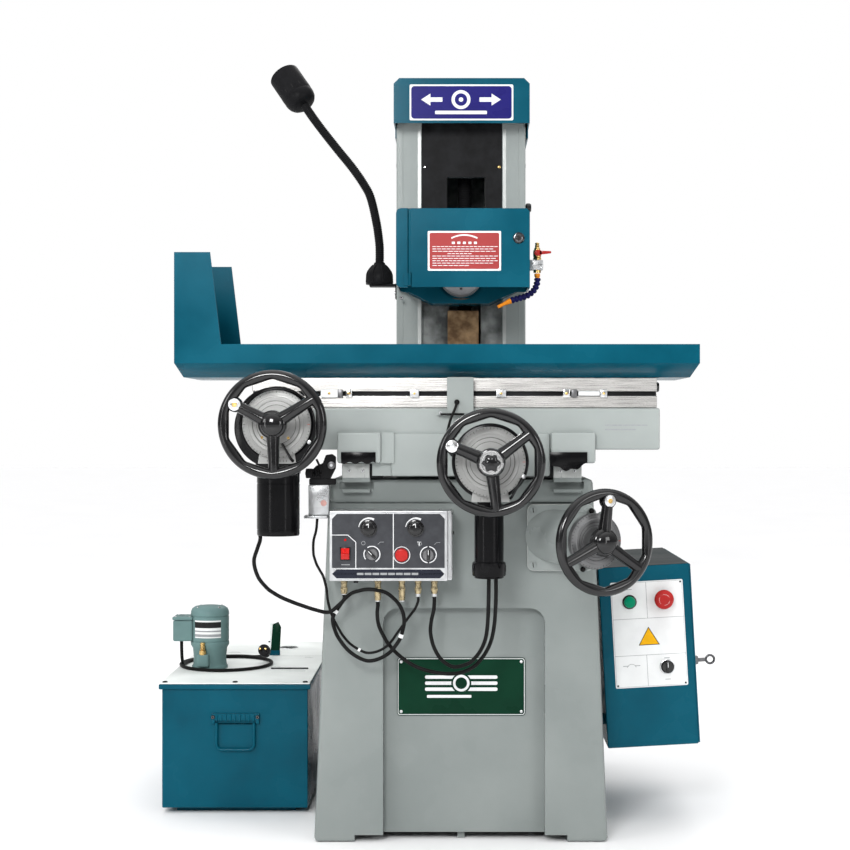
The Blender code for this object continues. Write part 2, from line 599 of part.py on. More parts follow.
def drives():
    """The two power-feed drives on the saddle, each with a housing, a motor below, a handwheel and a dial."""
    left = empty("left_drive_frame", LEFT_WHEEL, (math.pi / 2, 0, 0))
    back = SADDLE_FRONT - GAP
    depth = LEFT_WHEEL[1] - back
    drum = (
        (0, -0.0835), (0.066, -0.0835), (0.070, -0.0865), (0.070, -0.105), (0.052, -0.125),
        (0.045, depth), (0, depth)
    )
    housing = turned("left_drive_housing", drum, (0, 0, 0), (0, 0, 1), BLACK, parent=left)
    join(
        housing,
        rod("left_flange", (-0.004, -0.006, -0.0840), (-0.004, -0.006, -0.103), 0.077, sides=40, parent=left),
        block("left_drive_neck", (-0.0425, 0.0385), (-0.10, 0.0), (-0.165, -0.09), parent=left, bevel=0.01),
        rod("left_motor_body", (-0.002, -0.08, -0.124), (-0.002, -0.2105, -0.124), 0.0405, sides=32,
            parent=left,
            bevel=0.0015),
    )
    cut(housing, rod("left_drive_bore", (0, 0, 0), (0, 0, -0.25), 0.0103, parent=left))
    wheel_and_dial("left_handwheel", "left_dial", left, 0.064, (-0.067, -0.0822), -0.23, 152)

    centre = empty("centre_drive_frame", CENTRE_WHEEL, (math.pi / 2, 0, 0))
    depth = CENTRE_WHEEL[1] + 0.4455 + GAP
    drum = (
        (0, -0.0835), (0.069, -0.0835), (0.0725, -0.0865), (0.0725, -0.10), (0.045, -0.12), (0.043, -0.142),
        (0.030, -0.146), (0.030, depth), (0, depth),
    )
    housing = turned("centre_drive_housing", drum, (0, 0, 0), (0, 0, 1), BLACK, parent=centre)
    join(
        housing,
        block("centre_drive_neck", (-0.024, 0.020), (-0.09, 0.0), (-0.125, -0.085), parent=centre,
            bevel=0.006),
        rod("centre_motor_body", (-0.002, -0.08, -0.1), (-0.002, -0.2195, -0.1), 0.0276, parent=centre,
            bevel=0.0015),
        rod("centre_motor_cap", (-0.002, -0.187, -0.1), (-0.002, -0.215, -0.1), 0.032, parent=centre,
            bevel=0.002),
    )
    cut(housing, rod("centre_drive_bore", (0, 0, 0), (0, 0, -0.25), 0.0103, parent=centre))
    wheel_and_dial("centre_handwheel", "centre_dial", centre, 0.066, (-0.067, -0.0822), -0.23, 157)
    knob = ((0, 0.031), (0.009, 0.030), (0.0125, 0.026), (0.0125, 0.0205), (0.009, 0.0175), (0, 0.0175))
    lobes = turned("star_knob", knob, (0, 0, 0), (0, 0, 1), BLACK, sides=20, parent=centre)
    for number in range(6):
        angle = number * math.pi / 3
        at = Vector((0.0125 * math.cos(angle), 0.0125 * math.sin(angle), 0.0205))
        join(lobes,
            rod(f"star_lobe_{number}", at, at + Vector((0, 0, 0.008)), 0.0045, sides=10, parent=centre))


def table():
    """The table with its bed, T-slot and front dog slot, two sliding dogs, and the splash tray."""
    casting = block("table_casting", TABLE_X, TABLE_Y, (SADDLE_TOP + GAP, TABLE_TOP), STEEL, bevel=0.0015)
    cut(casting, block("table_pocket", (-0.385, 0.36), (-0.405, -0.195), (0.8, 0.893)))
    join(casting, block("table_bed", BED_X, BED_Y, (0.90, BED_TOP), bevel=0.0015))
    middle = sum(BED_Y) / 2
    cut(casting,
        block("t_slot_neck", grown(BED_X, 0.05), (middle - 0.007, middle + 0.007), (BED_TOP - 0.02, 1.1)))
    foot_z = (BED_TOP - 0.03, BED_TOP - 0.014)
    cut(casting, block("t_slot_foot", grown(BED_X, 0.05), (middle - 0.012, middle + 0.012), foot_z))
    front = TABLE_Y[0]
    cut(casting, block("dog_slot", grown(TABLE_X, 0.05), (front - 0.05, front + 0.009), DOG_SLOT_Z))
    for name, x in (("dog_left", (-0.2244, -0.2127)), ("dog_right", (0.1990, 0.2127))):
        dog = block(name, x, (front - 0.0075, front - GAP), (0.8760, 0.8925), CHROME, bevel=0.0008)
        tongue = block(name + "_tongue", grown(x, -0.001), (front - 0.003, front + 0.0085),
            grown(DOG_SLOT_Z, -GAP))
        join(dog, tongue)
    tray()


def tray():
    """The folded tray around the table: a bevelled pan with an upstand at its left end."""
    bottom_inset = (0.012, 0.0141, 0.04, 0.04)
    pan = tapered("splash_tray", TRAY_X, TRAY_Y, (TRAY_Z[0], TRAY_FLOOR), bottom_inset, TEAL)
    join(pan, block("tray_rim", TRAY_X, TRAY_Y, (TRAY_Z[0] - 0.0002, TRAY_Z[1])))
    inner_x, inner_y = grown(TRAY_X, -TRAY_SHEET), grown(TRAY_Y, -TRAY_SHEET)
    cut(pan,
        tapered("tray_hollow", inner_x, inner_y, (TRAY_Z[0] + 0.001, TRAY_FLOOR + TRAY_SHEET), bottom_inset))
    cut(pan, block("tray_mouth", inner_x, inner_y, (TRAY_Z[0], 1.1)))
    cut(pan, block("tray_window", grown(BED_X, GAP), grown(BED_Y, GAP), (0.9, 1.0)))
    left = TRAY_X[0]
    join(pan, block("upstand_wall", (left, left + TRAY_SHEET), TRAY_Y, (0.95, UPSTAND_TOP)))
    for name, y in (("upstand_front", TRAY_Y[0]), ("upstand_back", TRAY_Y[1] - TRAY_SHEET)):
        flange = ((left, 0.95), (-0.4635, 0.95), (-0.4635, 0.979), (-0.4848, UPSTAND_TOP),
            (left, UPSTAND_TOP))
        join(pan, plate(name, flange, (y, y + TRAY_SHEET)))


def control_box():
    """The operator's box under the saddle, with its glands, panel and controls."""
    shell = block(
        "control_box_shell", (BOX_X[0], BOX_X[1] + 0.0095), (-0.478, BASE_FRONT - GAP), BOX_Z, SILVER,
        bevel=0.003
    )
    join(shell, block("control_box_front", BOX_X, (BOX_FRONT, -0.476), BOX_Z, bevel=0.0015))
    cut(shell, block("control_box_inside", (-0.249, -0.0295), (-0.487, -0.404), (0.527, 0.6535)))
    cut(shell, block("control_box_knockout", (-0.14, -0.12), (-0.41, -0.39), (0.56, 0.60)))
    for number, (x, low) in enumerate(GLANDS):
        join(shell, rod(f"gland_{number}", (x, GLAND_Y, 0.5275), (x, GLAND_Y, low), 0.0052, sides=12))
    panel_outline = rounded((-0.2490, -0.0294), (0.5268, 0.6538), 0.008)
    panel = plate("control_panel", panel_outline, (BOX_FRONT - 0.0025, BOX_FRONT - GAP), PANEL)
    face = 0.4925 + GAP
    knob = (
        (0, face + 0.016), (0.0125, face + 0.015), (0.0140, face + 0.012), (0.0160, face + 0.003),
        (0.0160, face),
        (0, face),
    )
    for name, x, z in (("left_speed_knob", -0.1769, 0.6243), ("right_speed_knob", -0.0869, 0.6243)):
        turned(name, knob, (x, 0, z), (0, -1, 0), BLACK, sides=24)
    dish = ((0, face + 0.004), (0.0100, face + 0.004), (0.0115, face + 0.002), (0.0115, face), (0, face))
    grip = ((-0.0028, 0.0028), (-0.012, -0.002), (-0.0095, 0.0095))
    for name, x, z, lean in (("left_selector", -0.1709, 0.5745, 45), ("right_selector", -0.0626, 0.5737, 0)):
        body = turned(name, dish, (x, 0, z), (0, -1, 0), PANEL, sides=20)
        lever = empty(name + "_frame", (x, -face, z), (0, math.radians(-lean), 0))
        join(body, block(name + "_grip", *grip, parent=lever, bevel=0.001))
    stop_at = (-0.1137, 0.5732)
    stop_bore = rod("stop_button_bore", (stop_at[0], -0.6, stop_at[1]), (stop_at[0], -0.45, stop_at[1]),
        0.0139)
    cut(panel, stop_bore)
    cut(shell, stop_bore)
    button = (
        (0, face + 0.009), (0.0110, face + 0.008), (0.0130, face + 0.006), (0.0134, face + 0.001),
        (0, face + 0.001)
    )
    turned("stop_button", button, (stop_at[0], 0, stop_at[1]), (0, -1, 0), RED, sides=24)
    rocker_y = -face - 0.001
    block("rocker_switch", (-0.2321, -0.2121), (rocker_y - 0.0045, rocker_y), (0.5632, 0.5882), RED,
        bevel=0.001,
          pivot=(-0.2221, rocker_y, 0.5757))


def cabinet():
    """The electrical cabinet on the right of the base, open at its right side, where its door hangs."""
    frame = empty("cabinet_frame", CABINET_CORNER, (0, CABINET_ROLL, 0))
    width, depth, height = CABINET_SIZE
    shell = block("cabinet_shell", (0, width), (0, depth), (-height, 0), TEAL, bevel=0.002, parent=frame)
    inside = block("cabinet_inside", (CABINET_SHEET, width + REACH), grown((0, depth), -CABINET_SHEET),
                   grown((-height, 0), -CABINET_SHEET), parent=frame)
    cut(shell, inside)
    for number, (y, z) in enumerate(((0.06, -0.05), (0.40, -0.05), (0.06, -0.32), (0.40, -0.32))):
        join(shell,
            rod(f"cabinet_spacer_{number}", (0.002, y, z), (-0.0125, y, z), 0.012, sides=12, parent=frame))
    hinge_y = depth - 0.004
    edge = width + GAP
    door = block("cabinet_door", (edge, edge + 0.003), (0.002, depth - 0.009),
        grown((-height, 0), -0.002), TEAL,
                 bevel=0.001, parent=frame, pivot=(edge + 0.0035, hinge_y, -height / 2))
    hinge = rod("cabinet_hinge", (edge + 0.0035, hinge_y, -0.03),
        (edge + 0.0035, hinge_y, -height + 0.03), 0.003,
                sides=12, parent=frame)
    leaf_z = (-height + 0.03, -0.03)
    leaf = block("cabinet_hinge_leaf", (edge + 0.001, edge + 0.003), (depth - 0.012, hinge_y), leaf_z,
                 parent=frame)
    join(door, hinge, leaf)
    lock = (edge, 0.035, -0.205)
    cut(door, rod("cabinet_lock_bore", (0.1, *lock[1:]), (0.3, *lock[1:]), 0.0083, sides=20, parent=frame))
    lock_profile = (
        (0, 0.012), (0.0085, 0.012), (0.0095, 0.009), (0.0095, 0.0033), (0.008, 0.0033), (0.008, -0.012),
        (0, -0.012)
    )
    key = turned("cabinet_key", lock_profile, lock, (1, 0, 0), CHROME, sides=20, parent=frame)
    x = lock[0]
    join(
        key,
        block("key_blade", (x + 0.010, x + 0.030), (0.0342, 0.0358), (-0.210, -0.200), parent=frame),
        rod("key_bow", (x + 0.037, 0.0340, -0.205), (x + 0.037, 0.0360, -0.205), 0.011, sides=16,
            parent=frame),
    )
    green_at = (0.0608, 0, -0.0734)
    mushroom_at = (0.130, 0, -0.0701)
    for name, (x, y, z), radius in (("green", green_at, 0.0124), ("mushroom", mushroom_at, 0.0094)):
        cut(shell, rod(name + "_button_bore", (x, -0.05, z), (x, 0.05, z), radius, parent=frame))
    turned("green_button", ((0, 0.0105), (0.0105, 0.0095), (0.0120, 0.0075), (0.0120, 0.001), (0, 0.001)),
           green_at, (0, -1, 0), GREEN, sides=24, parent=frame)
    mushroom = (
        (0, 0.030), (0.012, 0.0285), (0.0185, 0.024), (0.020, 0.020), (0.018, 0.017), (0.009, 0.0155),
        (0.009, 0.001), (0, 0.001),
    )
    turned("mushroom_button", mushroom, mushroom_at, (0, -1, 0), RED, sides=24, parent=frame)
    disc = ((0, 0.008), (0.0115, 0.0075), (0.0138, 0.005), (0.0138, 0.001), (0, 0.001))
    selector = turned("cabinet_selector", disc, (0.1313, 0, -0.2103), (0, -1, 0), BLACK, sides=24,
        parent=frame)
    grip = block("cabinet_selector_grip", (0.1283, 0.1343), (-0.017, -0.006), (-0.222, -0.1985), parent=frame)
    join(selector, grip)


def tank():
    """The coolant tank on its plinth, its lid and pump, and the bail handle."""
    shell = block("tank_shell", TANK_X, TANK_Y, (TANK_Z[0], TANK_Z[1]), TEAL, bevel=0.002)
    join(
        shell,
        block("tank_rim", grown(TANK_X, 0.0063), grown(TANK_Y, 0.0063), (0.2625, TANK_Z[1]), bevel=0.002),
        block("tank_plinth", grown(TANK_X, -0.028), grown(TANK_Y, -0.028), (0.0, 0.013)),
    )
    cut(shell, block("tank_inside", grown(TANK_X, -TANK_SHEET), grown(TANK_Y, -TANK_SHEET), (0.014, 0.4)))
    bracket = block("bail_bracket", (-0.5286, -0.4270), (-0.147, TANK_Y[0] + 0.001), (0.1900, 0.2110),
        bevel=0.001)
    join(shell, bracket)
    cut(shell, block("bail_gap", (-0.5215, -0.4341), (-0.151, -0.1405), (0.18, 0.1975)))
    bail = (
        (-0.5175, 0.0003), (-0.5175, -0.050), (-0.510, -0.057), (-0.4456, -0.057), (-0.4381, -0.050),
        (-0.4381, 0.0003),
    )
    tube("tank_handle", [(x, -0.1455, 0.192 + z) for x, z in bail], 0.003, TEAL)

    lid_y = grown(TANK_Y, 0.0045)
    lid_z = (TANK_Z[1] + GAP, TANK_Z[1] + 0.0028)
    lid = block("tank_lid", grown(TANK_X, 0.0045), lid_y, lid_z, WHITE, bevel=0.0006)
    join(lid, block("lid_flap", (-0.4525, -0.4300), (0.2995, 0.3015), (0.275, 0.353)))
    cut(lid, rod("lid_hole", (-0.423, 0.447, 0.2), (-0.423, 0.447, 0.4), 0.021))
    cut(lid, rod("lid_pump_hole", (*PUMP_AT, 0.2), (*PUMP_AT, 0.4), 0.030))

    foot = TANK_Z[1] + 0.0028 + GAP
    pump_profile = (
        (0, 0.4174), (0.032, 0.4174), (0.037, 0.411), (0.0385, 0.400), (0.0385, 0.330), (0.035, 0.322),
        (0.035, foot),
        (0.028, foot), (0.028, 0.14), (0.034, 0.135), (0.034, 0.09), (0, 0.09),
    )
    pump = turned("pump_motor", pump_profile, (*PUMP_AT, 0), (0, 0, 1), PUMP_TEAL)
    x, y = PUMP_AT
    join(
        pump,
        block("pump_junction_box", (x - 0.079, x - 0.035), (y - 0.03, y + 0.03), (0.339, 0.3935),
            bevel=0.003),
        block("pump_outlet_boss", (x - 0.022, x + 0.004), (y - 0.052, y), (0.284, 0.312), bevel=0.003),
        rod("pump_outlet", (x - 0.010, y - 0.044, 0.300), (x - 0.010, y - 0.044, 0.338), 0.0065, sides=16),
    )


def limit_switch():
    """The cross-travel switch on the left of the base, with its arm."""
    switch = block(
        "limit_switch", (-0.2977, -0.2565), (-0.440, BASE_FRONT - 0.0125), (0.6432, 0.7063), CASTING,
        bevel=0.002
    )
    join(
        switch,
        block("switch_flange", (-0.3055, -0.2595), (-0.448, -0.408), (0.6405, 0.6465)),
        block("switch_arm", (-0.2965, -0.2440), (-0.436, -0.418), (0.700, 0.745), bevel=0.004),
        block("switch_lever", (-0.2750, -0.2440), (-0.434, -0.420), (0.730, 0.766), bevel=0.003),
        rod("switch_roller", (-0.3045, -0.427, 0.728), (-0.262, -0.427, 0.728), 0.010, sides=12),
        block("switch_stay", (-0.262, -0.2565), (-0.430, BASE_FRONT - 0.0123), (0.676, 0.700)),
    )


def lamp():
    """The work lamp: a gooseneck on a bell foot beside the column, and its shade."""
    x, y = LAMP_AT
    bell = (
        (0, 1.187), (0.012, 1.186), (0.015, 1.181), (0.026, 1.168), (0.030, 1.155), (0.0305, 1.1375),
        (0, 1.1375)
    )
    foot = turned("lamp_arm", bell, (x, y, 0), (0, 0, 1), BLACK, sides=24)
    join(
        foot,
        block("lamp_bracket", (x - 0.022, -COLUMN_HALF - GAP), (y - 0.02, y + 0.02), (1.1325, 1.1395)),
        block("lamp_bracket_leg", (-0.147, -COLUMN_HALF - GAP), (y - 0.02, y + 0.02), (1.105, 1.139)),
    )
    stops = (
        (x, y, 1.175), (-0.1825, 0.080, 1.205), (-0.1835, 0.081, 1.231), (-0.1900, 0.084, 1.277),
        (-0.2034, 0.090, 1.3339), (-0.2194, 0.094, 1.3655), (-0.2450, 0.100, 1.4028),
        (-0.2765, 0.107, 1.4421),
        (-0.3077, 0.116, 1.4820), (-0.3332, 0.124, 1.5163), (-0.3560, 0.139, 1.5500),
    )
    route = smooth_route(stops, 0.024)
    join(foot, as_mesh(tube("lamp_gooseneck", route, 0.0095)))
    aim = (Vector(route[-1]) - Vector(route[-2])).normalized()
    shade_profile = (
        (0, 0.008), (0.027, 0.016), (0.0315, 0.026), (0.0320, 0.095), (0.0330, 0.097), (0.0357, 0.094),
        (0.0357, 0.022), (0.029, 0.006), (0.018, 0), (0, 0),
    )
    turned("lamp_head", shade_profile, Vector(route[-1]) + 2 * GAP * aim, aim, BLACK, sides=24)


def cables():
    """The free cables. Each leaves its gland or motor straight and hangs under its own weight."""
    under = [(x, GLAND_Y, low - GAP) for x, low in GLANDS]
    stubs = [(x, GLAND_Y, low - 0.009) for x, low in GLANDS]
    left_motor = (
        (-0.381, -0.530, 0.6127), (-0.381, -0.530, 0.604), (-0.387, -0.530, 0.586),
        (-0.393, -0.528, 0.563), (-0.386, -0.522, 0.534),
        (-0.370, -0.514, 0.512), (-0.344, -0.502, 0.493), (-0.309, -0.488, 0.477),
        (-0.280, -0.476, 0.466),
        (-0.255, -0.468, 0.461), (-0.236, -0.466, 0.475), (-0.215, -0.466, 0.495),
        (-0.179, -0.466, 0.505),
        (-0.141, -0.465, 0.496), (-0.119, -0.463, 0.474), (-0.110, -0.460, 0.445),
        (-0.116, -0.457, 0.414),
        (-0.140, -0.455, 0.380), (-0.180, -0.455, 0.365), (-0.219, -0.456, 0.386),
        (-0.243, -0.457, 0.421),
        (-0.249, -0.455, 0.447), (-0.238, -0.449, 0.468), stubs[0], under[0],
    )
    limit_switch_run = (
        (-0.281, -0.428, 0.6402), (-0.283, -0.430, 0.617), (-0.288, -0.432, 0.596),
        (-0.288, -0.435, 0.573),
        (-0.281, -0.438, 0.550), (-0.268, -0.442, 0.527), (-0.262, -0.444, 0.505),
        (-0.259, -0.444, 0.480),
        (-0.252, -0.444, 0.455), (-0.239, -0.444, 0.428), (-0.218, -0.444, 0.399),
        (-0.181, -0.444, 0.379),
        (-0.146, -0.444, 0.391), (-0.124, -0.444, 0.418), (-0.103, -0.444, 0.447),
        (-0.089, -0.445, 0.466), stubs[3], under[3],
    )
    centre_left = (
        under[1], stubs[1], (-0.163, -0.444, 0.455), (-0.160, -0.438, 0.431), (-0.148, -0.433, 0.405),
        (-0.127, -0.431, 0.378),
        (-0.090, -0.434, 0.352), (-0.045, -0.442, 0.340), (-0.004, -0.452, 0.341),
        (0.027, -0.470, 0.358),
        (0.050, -0.495, 0.391), (0.061, -0.520, 0.427), (0.065, -0.540, 0.469), (0.066, -0.549, 0.505),
        (0.066, -0.550, 0.5337),
    )
    centre_right = (
        under[4], stubs[4], (-0.053, -0.446, 0.463), (-0.058, -0.448, 0.440), (-0.059, -0.450, 0.417),
        (-0.052, -0.453, 0.390),
        (-0.037, -0.458, 0.367), (-0.014, -0.466, 0.355), (0.013, -0.482, 0.363),
        (0.034, -0.502, 0.386),
        (0.047, -0.522, 0.418), (0.051, -0.540, 0.458), (0.052, -0.550, 0.495),
        (0.0525, -0.552, 0.5337),
    )
    sensor = (
        (-0.008, -0.4553, 0.867), (-0.008, -0.4610, 0.867), (-0.009, -0.467, 0.862),
        (-0.012, -0.470, 0.853), (-0.019, -0.473, 0.836),
        (-0.025, -0.473, 0.815), (-0.028, -0.475, 0.793), (-0.024, -0.480, 0.773),
        (-0.011, -0.487, 0.760),
        (0.004, -0.492, 0.7545), (0.0107, -0.493, 0.7535),
    )
    for name, stops, radius in (
        ("left_motor_cable", left_motor, CABLE_RADIUS),
        ("limit_switch_cable", limit_switch_run, THIN_CABLE_RADIUS),
        ("centre_cable_left", centre_left, CABLE_RADIUS), ("centre_cable_right", centre_right, CABLE_RADIUS),
        ("sensor_cable", sensor, THIN_CABLE_RADIUS),
    ):
        tube(name, smooth_route(stops, 6 * radius), radius, RUBBER)
    pump_lead()


def pump_lead():
    """The pump's lead, laid on the tank lid in a loose loop round the pump, and its plug."""
    lying = TANK_Z[1] + 0.0028 + CABLE_RADIUS + GAP
    box_x, box_y = PUMP_AT[0] - 0.064, PUMP_AT[1]
    stops = [(box_x, box_y, 0.339 - GAP), (box_x, box_y + 0.001, 0.318), (box_x, box_y + 0.007, 0.297),
             (box_x, box_y + 0.024, lying + 0.002)]
    for step in range(33):
        angle = math.radians(165 - 14.4 * step)
        spread = 1 + 0.085 * min(1, max(0, (step - 16) / 8))
        across, along = 0.098 * spread * math.cos(angle), 0.115 * spread * math.sin(angle)
        stops.append((-0.530 + across, 0.135 + along, lying))
    stops += [
        (-0.449, 0.213, lying + 0.007), (-0.4485, 0.199, lying + 0.0125), (-0.449, 0.190, lying + 0.0155)
    ]
    route = smooth_route(stops, 6 * CABLE_RADIUS)
    tube("pump_cable", route, CABLE_RADIUS, RUBBER)
    aim = (Vector(route[-1]) - Vector(route[-2])).normalized()
    plug_profile = ((0, 0.040), (0.0125, 0.040), (0.0135, 0.038), (0.0135, 0.020), (0.008, 0.008),
        (0.006, 0), (0, 0))
    plug = turned("pump_plug", plug_profile, Vector(route[-1]) + GAP * aim, aim, MATT_BLACK, sides=20)
    side = aim.cross(Vector((0, 0, 1))).normalized()
    for number, shift in enumerate((-0.006, 0.006)):
        root = Vector(route[-1]) + 0.038 * aim + shift * side
        join(plug, rod(f"plug_pin_{number}", root, root + 0.018 * aim, 0.0022, sides=8))

base()
elevating_drive()
column()
head()
saddle()
drives()
table()
control_box()
cabinet()
tank()
limit_switch()
lamp()
cables()
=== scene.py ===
"""The looks of the manual surface grinder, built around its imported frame.

Metres, +Z up, with the operator at -Y. Castings and sheet metal keep their CAD meshes and get round edges and
enamel. Turned, moulded and printed pieces are built finer here, in the places that their CAD nodes hold."""

import json
import math

import bmesh
import bpy
from mathutils import Matrix, Vector, noise

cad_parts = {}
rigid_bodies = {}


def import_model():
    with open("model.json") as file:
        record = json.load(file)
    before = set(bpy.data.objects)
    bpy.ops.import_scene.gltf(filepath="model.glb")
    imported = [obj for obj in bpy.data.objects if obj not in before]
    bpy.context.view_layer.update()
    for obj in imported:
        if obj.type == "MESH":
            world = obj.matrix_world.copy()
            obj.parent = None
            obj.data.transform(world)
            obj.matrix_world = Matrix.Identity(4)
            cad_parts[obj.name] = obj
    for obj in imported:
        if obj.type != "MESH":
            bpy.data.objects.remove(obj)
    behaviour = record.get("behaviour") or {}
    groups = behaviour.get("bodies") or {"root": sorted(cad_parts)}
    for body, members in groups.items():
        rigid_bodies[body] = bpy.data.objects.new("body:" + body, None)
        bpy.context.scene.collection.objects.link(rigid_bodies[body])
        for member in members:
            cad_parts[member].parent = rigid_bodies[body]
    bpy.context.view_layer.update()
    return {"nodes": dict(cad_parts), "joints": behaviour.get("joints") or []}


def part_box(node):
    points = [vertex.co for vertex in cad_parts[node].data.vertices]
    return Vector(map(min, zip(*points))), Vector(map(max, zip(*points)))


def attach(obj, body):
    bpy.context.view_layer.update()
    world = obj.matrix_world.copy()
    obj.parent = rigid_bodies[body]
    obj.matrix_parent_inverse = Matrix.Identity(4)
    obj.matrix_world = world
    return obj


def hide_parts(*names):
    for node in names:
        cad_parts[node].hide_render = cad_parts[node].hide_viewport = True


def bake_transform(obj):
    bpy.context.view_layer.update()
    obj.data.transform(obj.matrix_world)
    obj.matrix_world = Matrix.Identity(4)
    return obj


# Camera and stage
CAMERA_AT = (0.0, -3.85, 0.8226)
CAMERA_LENS = 74.12
CAMERA_SHIFT = -0.04235
STRIP_HEIGHT = 1.4
SKY_TOP = 1.62
SKY_SIDES = 0.30
PAINT_SPECULAR = 0.05
COAT_SHARE = 0.18

# Wheels and drives, as their joints hold them
WHEEL_RADIUS = 0.10
RIM_RADIUS = 0.0095
BOSS_AT = 0.0775

# Cables
CABLE_RADIUS = 0.0037
THIN_CABLE_RADIUS = 0.0026
GLANDS = ((-0.2274, 0.4928), (-0.1618, 0.4792), (-0.1150, 0.4792), (-0.0834, 0.4889), (-0.0518, 0.4889))
GLAND_Y = -0.445
GAP = 0.0003
PRINT = 0.0001

# Places that several pieces share
LID_THICKNESS = 0.0028
PUMP_AT = (-0.565, 0.09)
BOX_FOOT = 0.5231
COLUMN_STRIP = (0.76, 1.4735)
LAMP_AT = (-0.183, 0.08)
DOG_SLOT = (0.8795, 0.8885)
CABINET_CORNER = (0.2818, -0.25, 0.5284)
BUTTON_AT = (0.1300, -0.0701)
GREEN_AT = (0.0608, -0.0734)
SELECTOR_AT = (0.1313, -0.2103)

for old in list(bpy.data.objects):
    bpy.data.objects.remove(old)
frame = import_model()
joints = {joint["name"]: joint for joint in frame["joints"]}


# ---------------------------------------------------------------- camera, light and floor

def stage():
    camera = bpy.data.objects.new("camera", bpy.data.cameras.new("camera"))
    bpy.context.scene.collection.objects.link(camera)
    camera.location = CAMERA_AT
    camera.rotation_euler = (math.pi / 2, 0, 0)
    camera.data.lens = CAMERA_LENS
    camera.data.shift_x = CAMERA_SHIFT
    camera.data.clip_end = 100
    bpy.context.scene.camera = camera

    bpy.context.scene.view_settings.view_transform = "Standard"
    sky()
    for name, place, size, power, aim in (
        ("key", (-0.75, -4.0, 2.1), 0.9, 84, (0, 0, 1.0)),
        ("left", (-2.6, -2.2, 1.9), 0.9, 16, (0, 0, 0.8)),
        ("fill", (2.4, -2.6, 1.5), 0.9, 13, (0, 0, 0.7)),
        ("back", (0.6, 2.8, 3.2), 2.0, 24, (0, 0, 0.9)),
        ("left_strip", (-1.9, -2.4, 0.9), 0.14, 5, (-0.2, -0.4, 0.7)),
        ("right_strip", (1.7, -2.6, 1.0), 0.14, 4, (0.2, -0.4, 0.7)),
    ):
        light = bpy.data.objects.new(name, bpy.data.lights.new(name, "AREA"))
        light.data.size = size
        if "strip" in name:
            light.data.shape = "RECTANGLE"
            light.data.size_y = STRIP_HEIGHT
        light.data.energy = power
        light.location = place
        light.rotation_euler = (Vector(aim) - Vector(place)).to_track_quat("-Z", "Y").to_euler()
        bpy.context.scene.collection.objects.link(light)

    bpy.ops.mesh.primitive_plane_add(size=60, location=(0, 0, -0.0005))
    floor = bpy.context.object
    floor.name = "floor"
    floor.data.materials.append(material("floor_pale", (0.93, 0.93, 0.935), 0.6, mottle=0.005, scale=2,
        grain=0.02))


def sky():
    """A studio dome, brightest overhead and dim at the sides. The backdrop itself shows plain white."""
    world = bpy.data.worlds.new("studio")
    bpy.context.scene.world = world
    world.use_nodes = True
    nodes, links = world.node_tree.nodes, world.node_tree.links
    split = nodes.new("ShaderNodeSeparateXYZ")
    links.new(nodes.new("ShaderNodeTexCoord").outputs["Generated"], split.inputs[0])
    square = nodes.new("ShaderNodeMath")
    square.operation = "MULTIPLY"
    links.new(split.outputs["Z"], square.inputs[0])
    links.new(split.outputs["Z"], square.inputs[1])
    dome = nodes.new("ShaderNodeMath")
    dome.operation = "MULTIPLY_ADD"
    dome.inputs[1].default_value = SKY_TOP
    dome.inputs[2].default_value = SKY_SIDES
    links.new(square.outputs[0], dome.inputs[0])
    shown = nodes.new("ShaderNodeMath")
    shown.operation = "MAXIMUM"
    links.new(dome.outputs[0], shown.inputs[0])
    links.new(nodes.new("ShaderNodeLightPath").outputs["Is Camera Ray"], shown.inputs[1])
    links.new(shown.outputs[0], nodes["Background"].inputs["Strength"])
    nodes["Background"].inputs["Color"].default_value = (1, 1, 1, 1)


# ---------------------------------------------------------------- materials

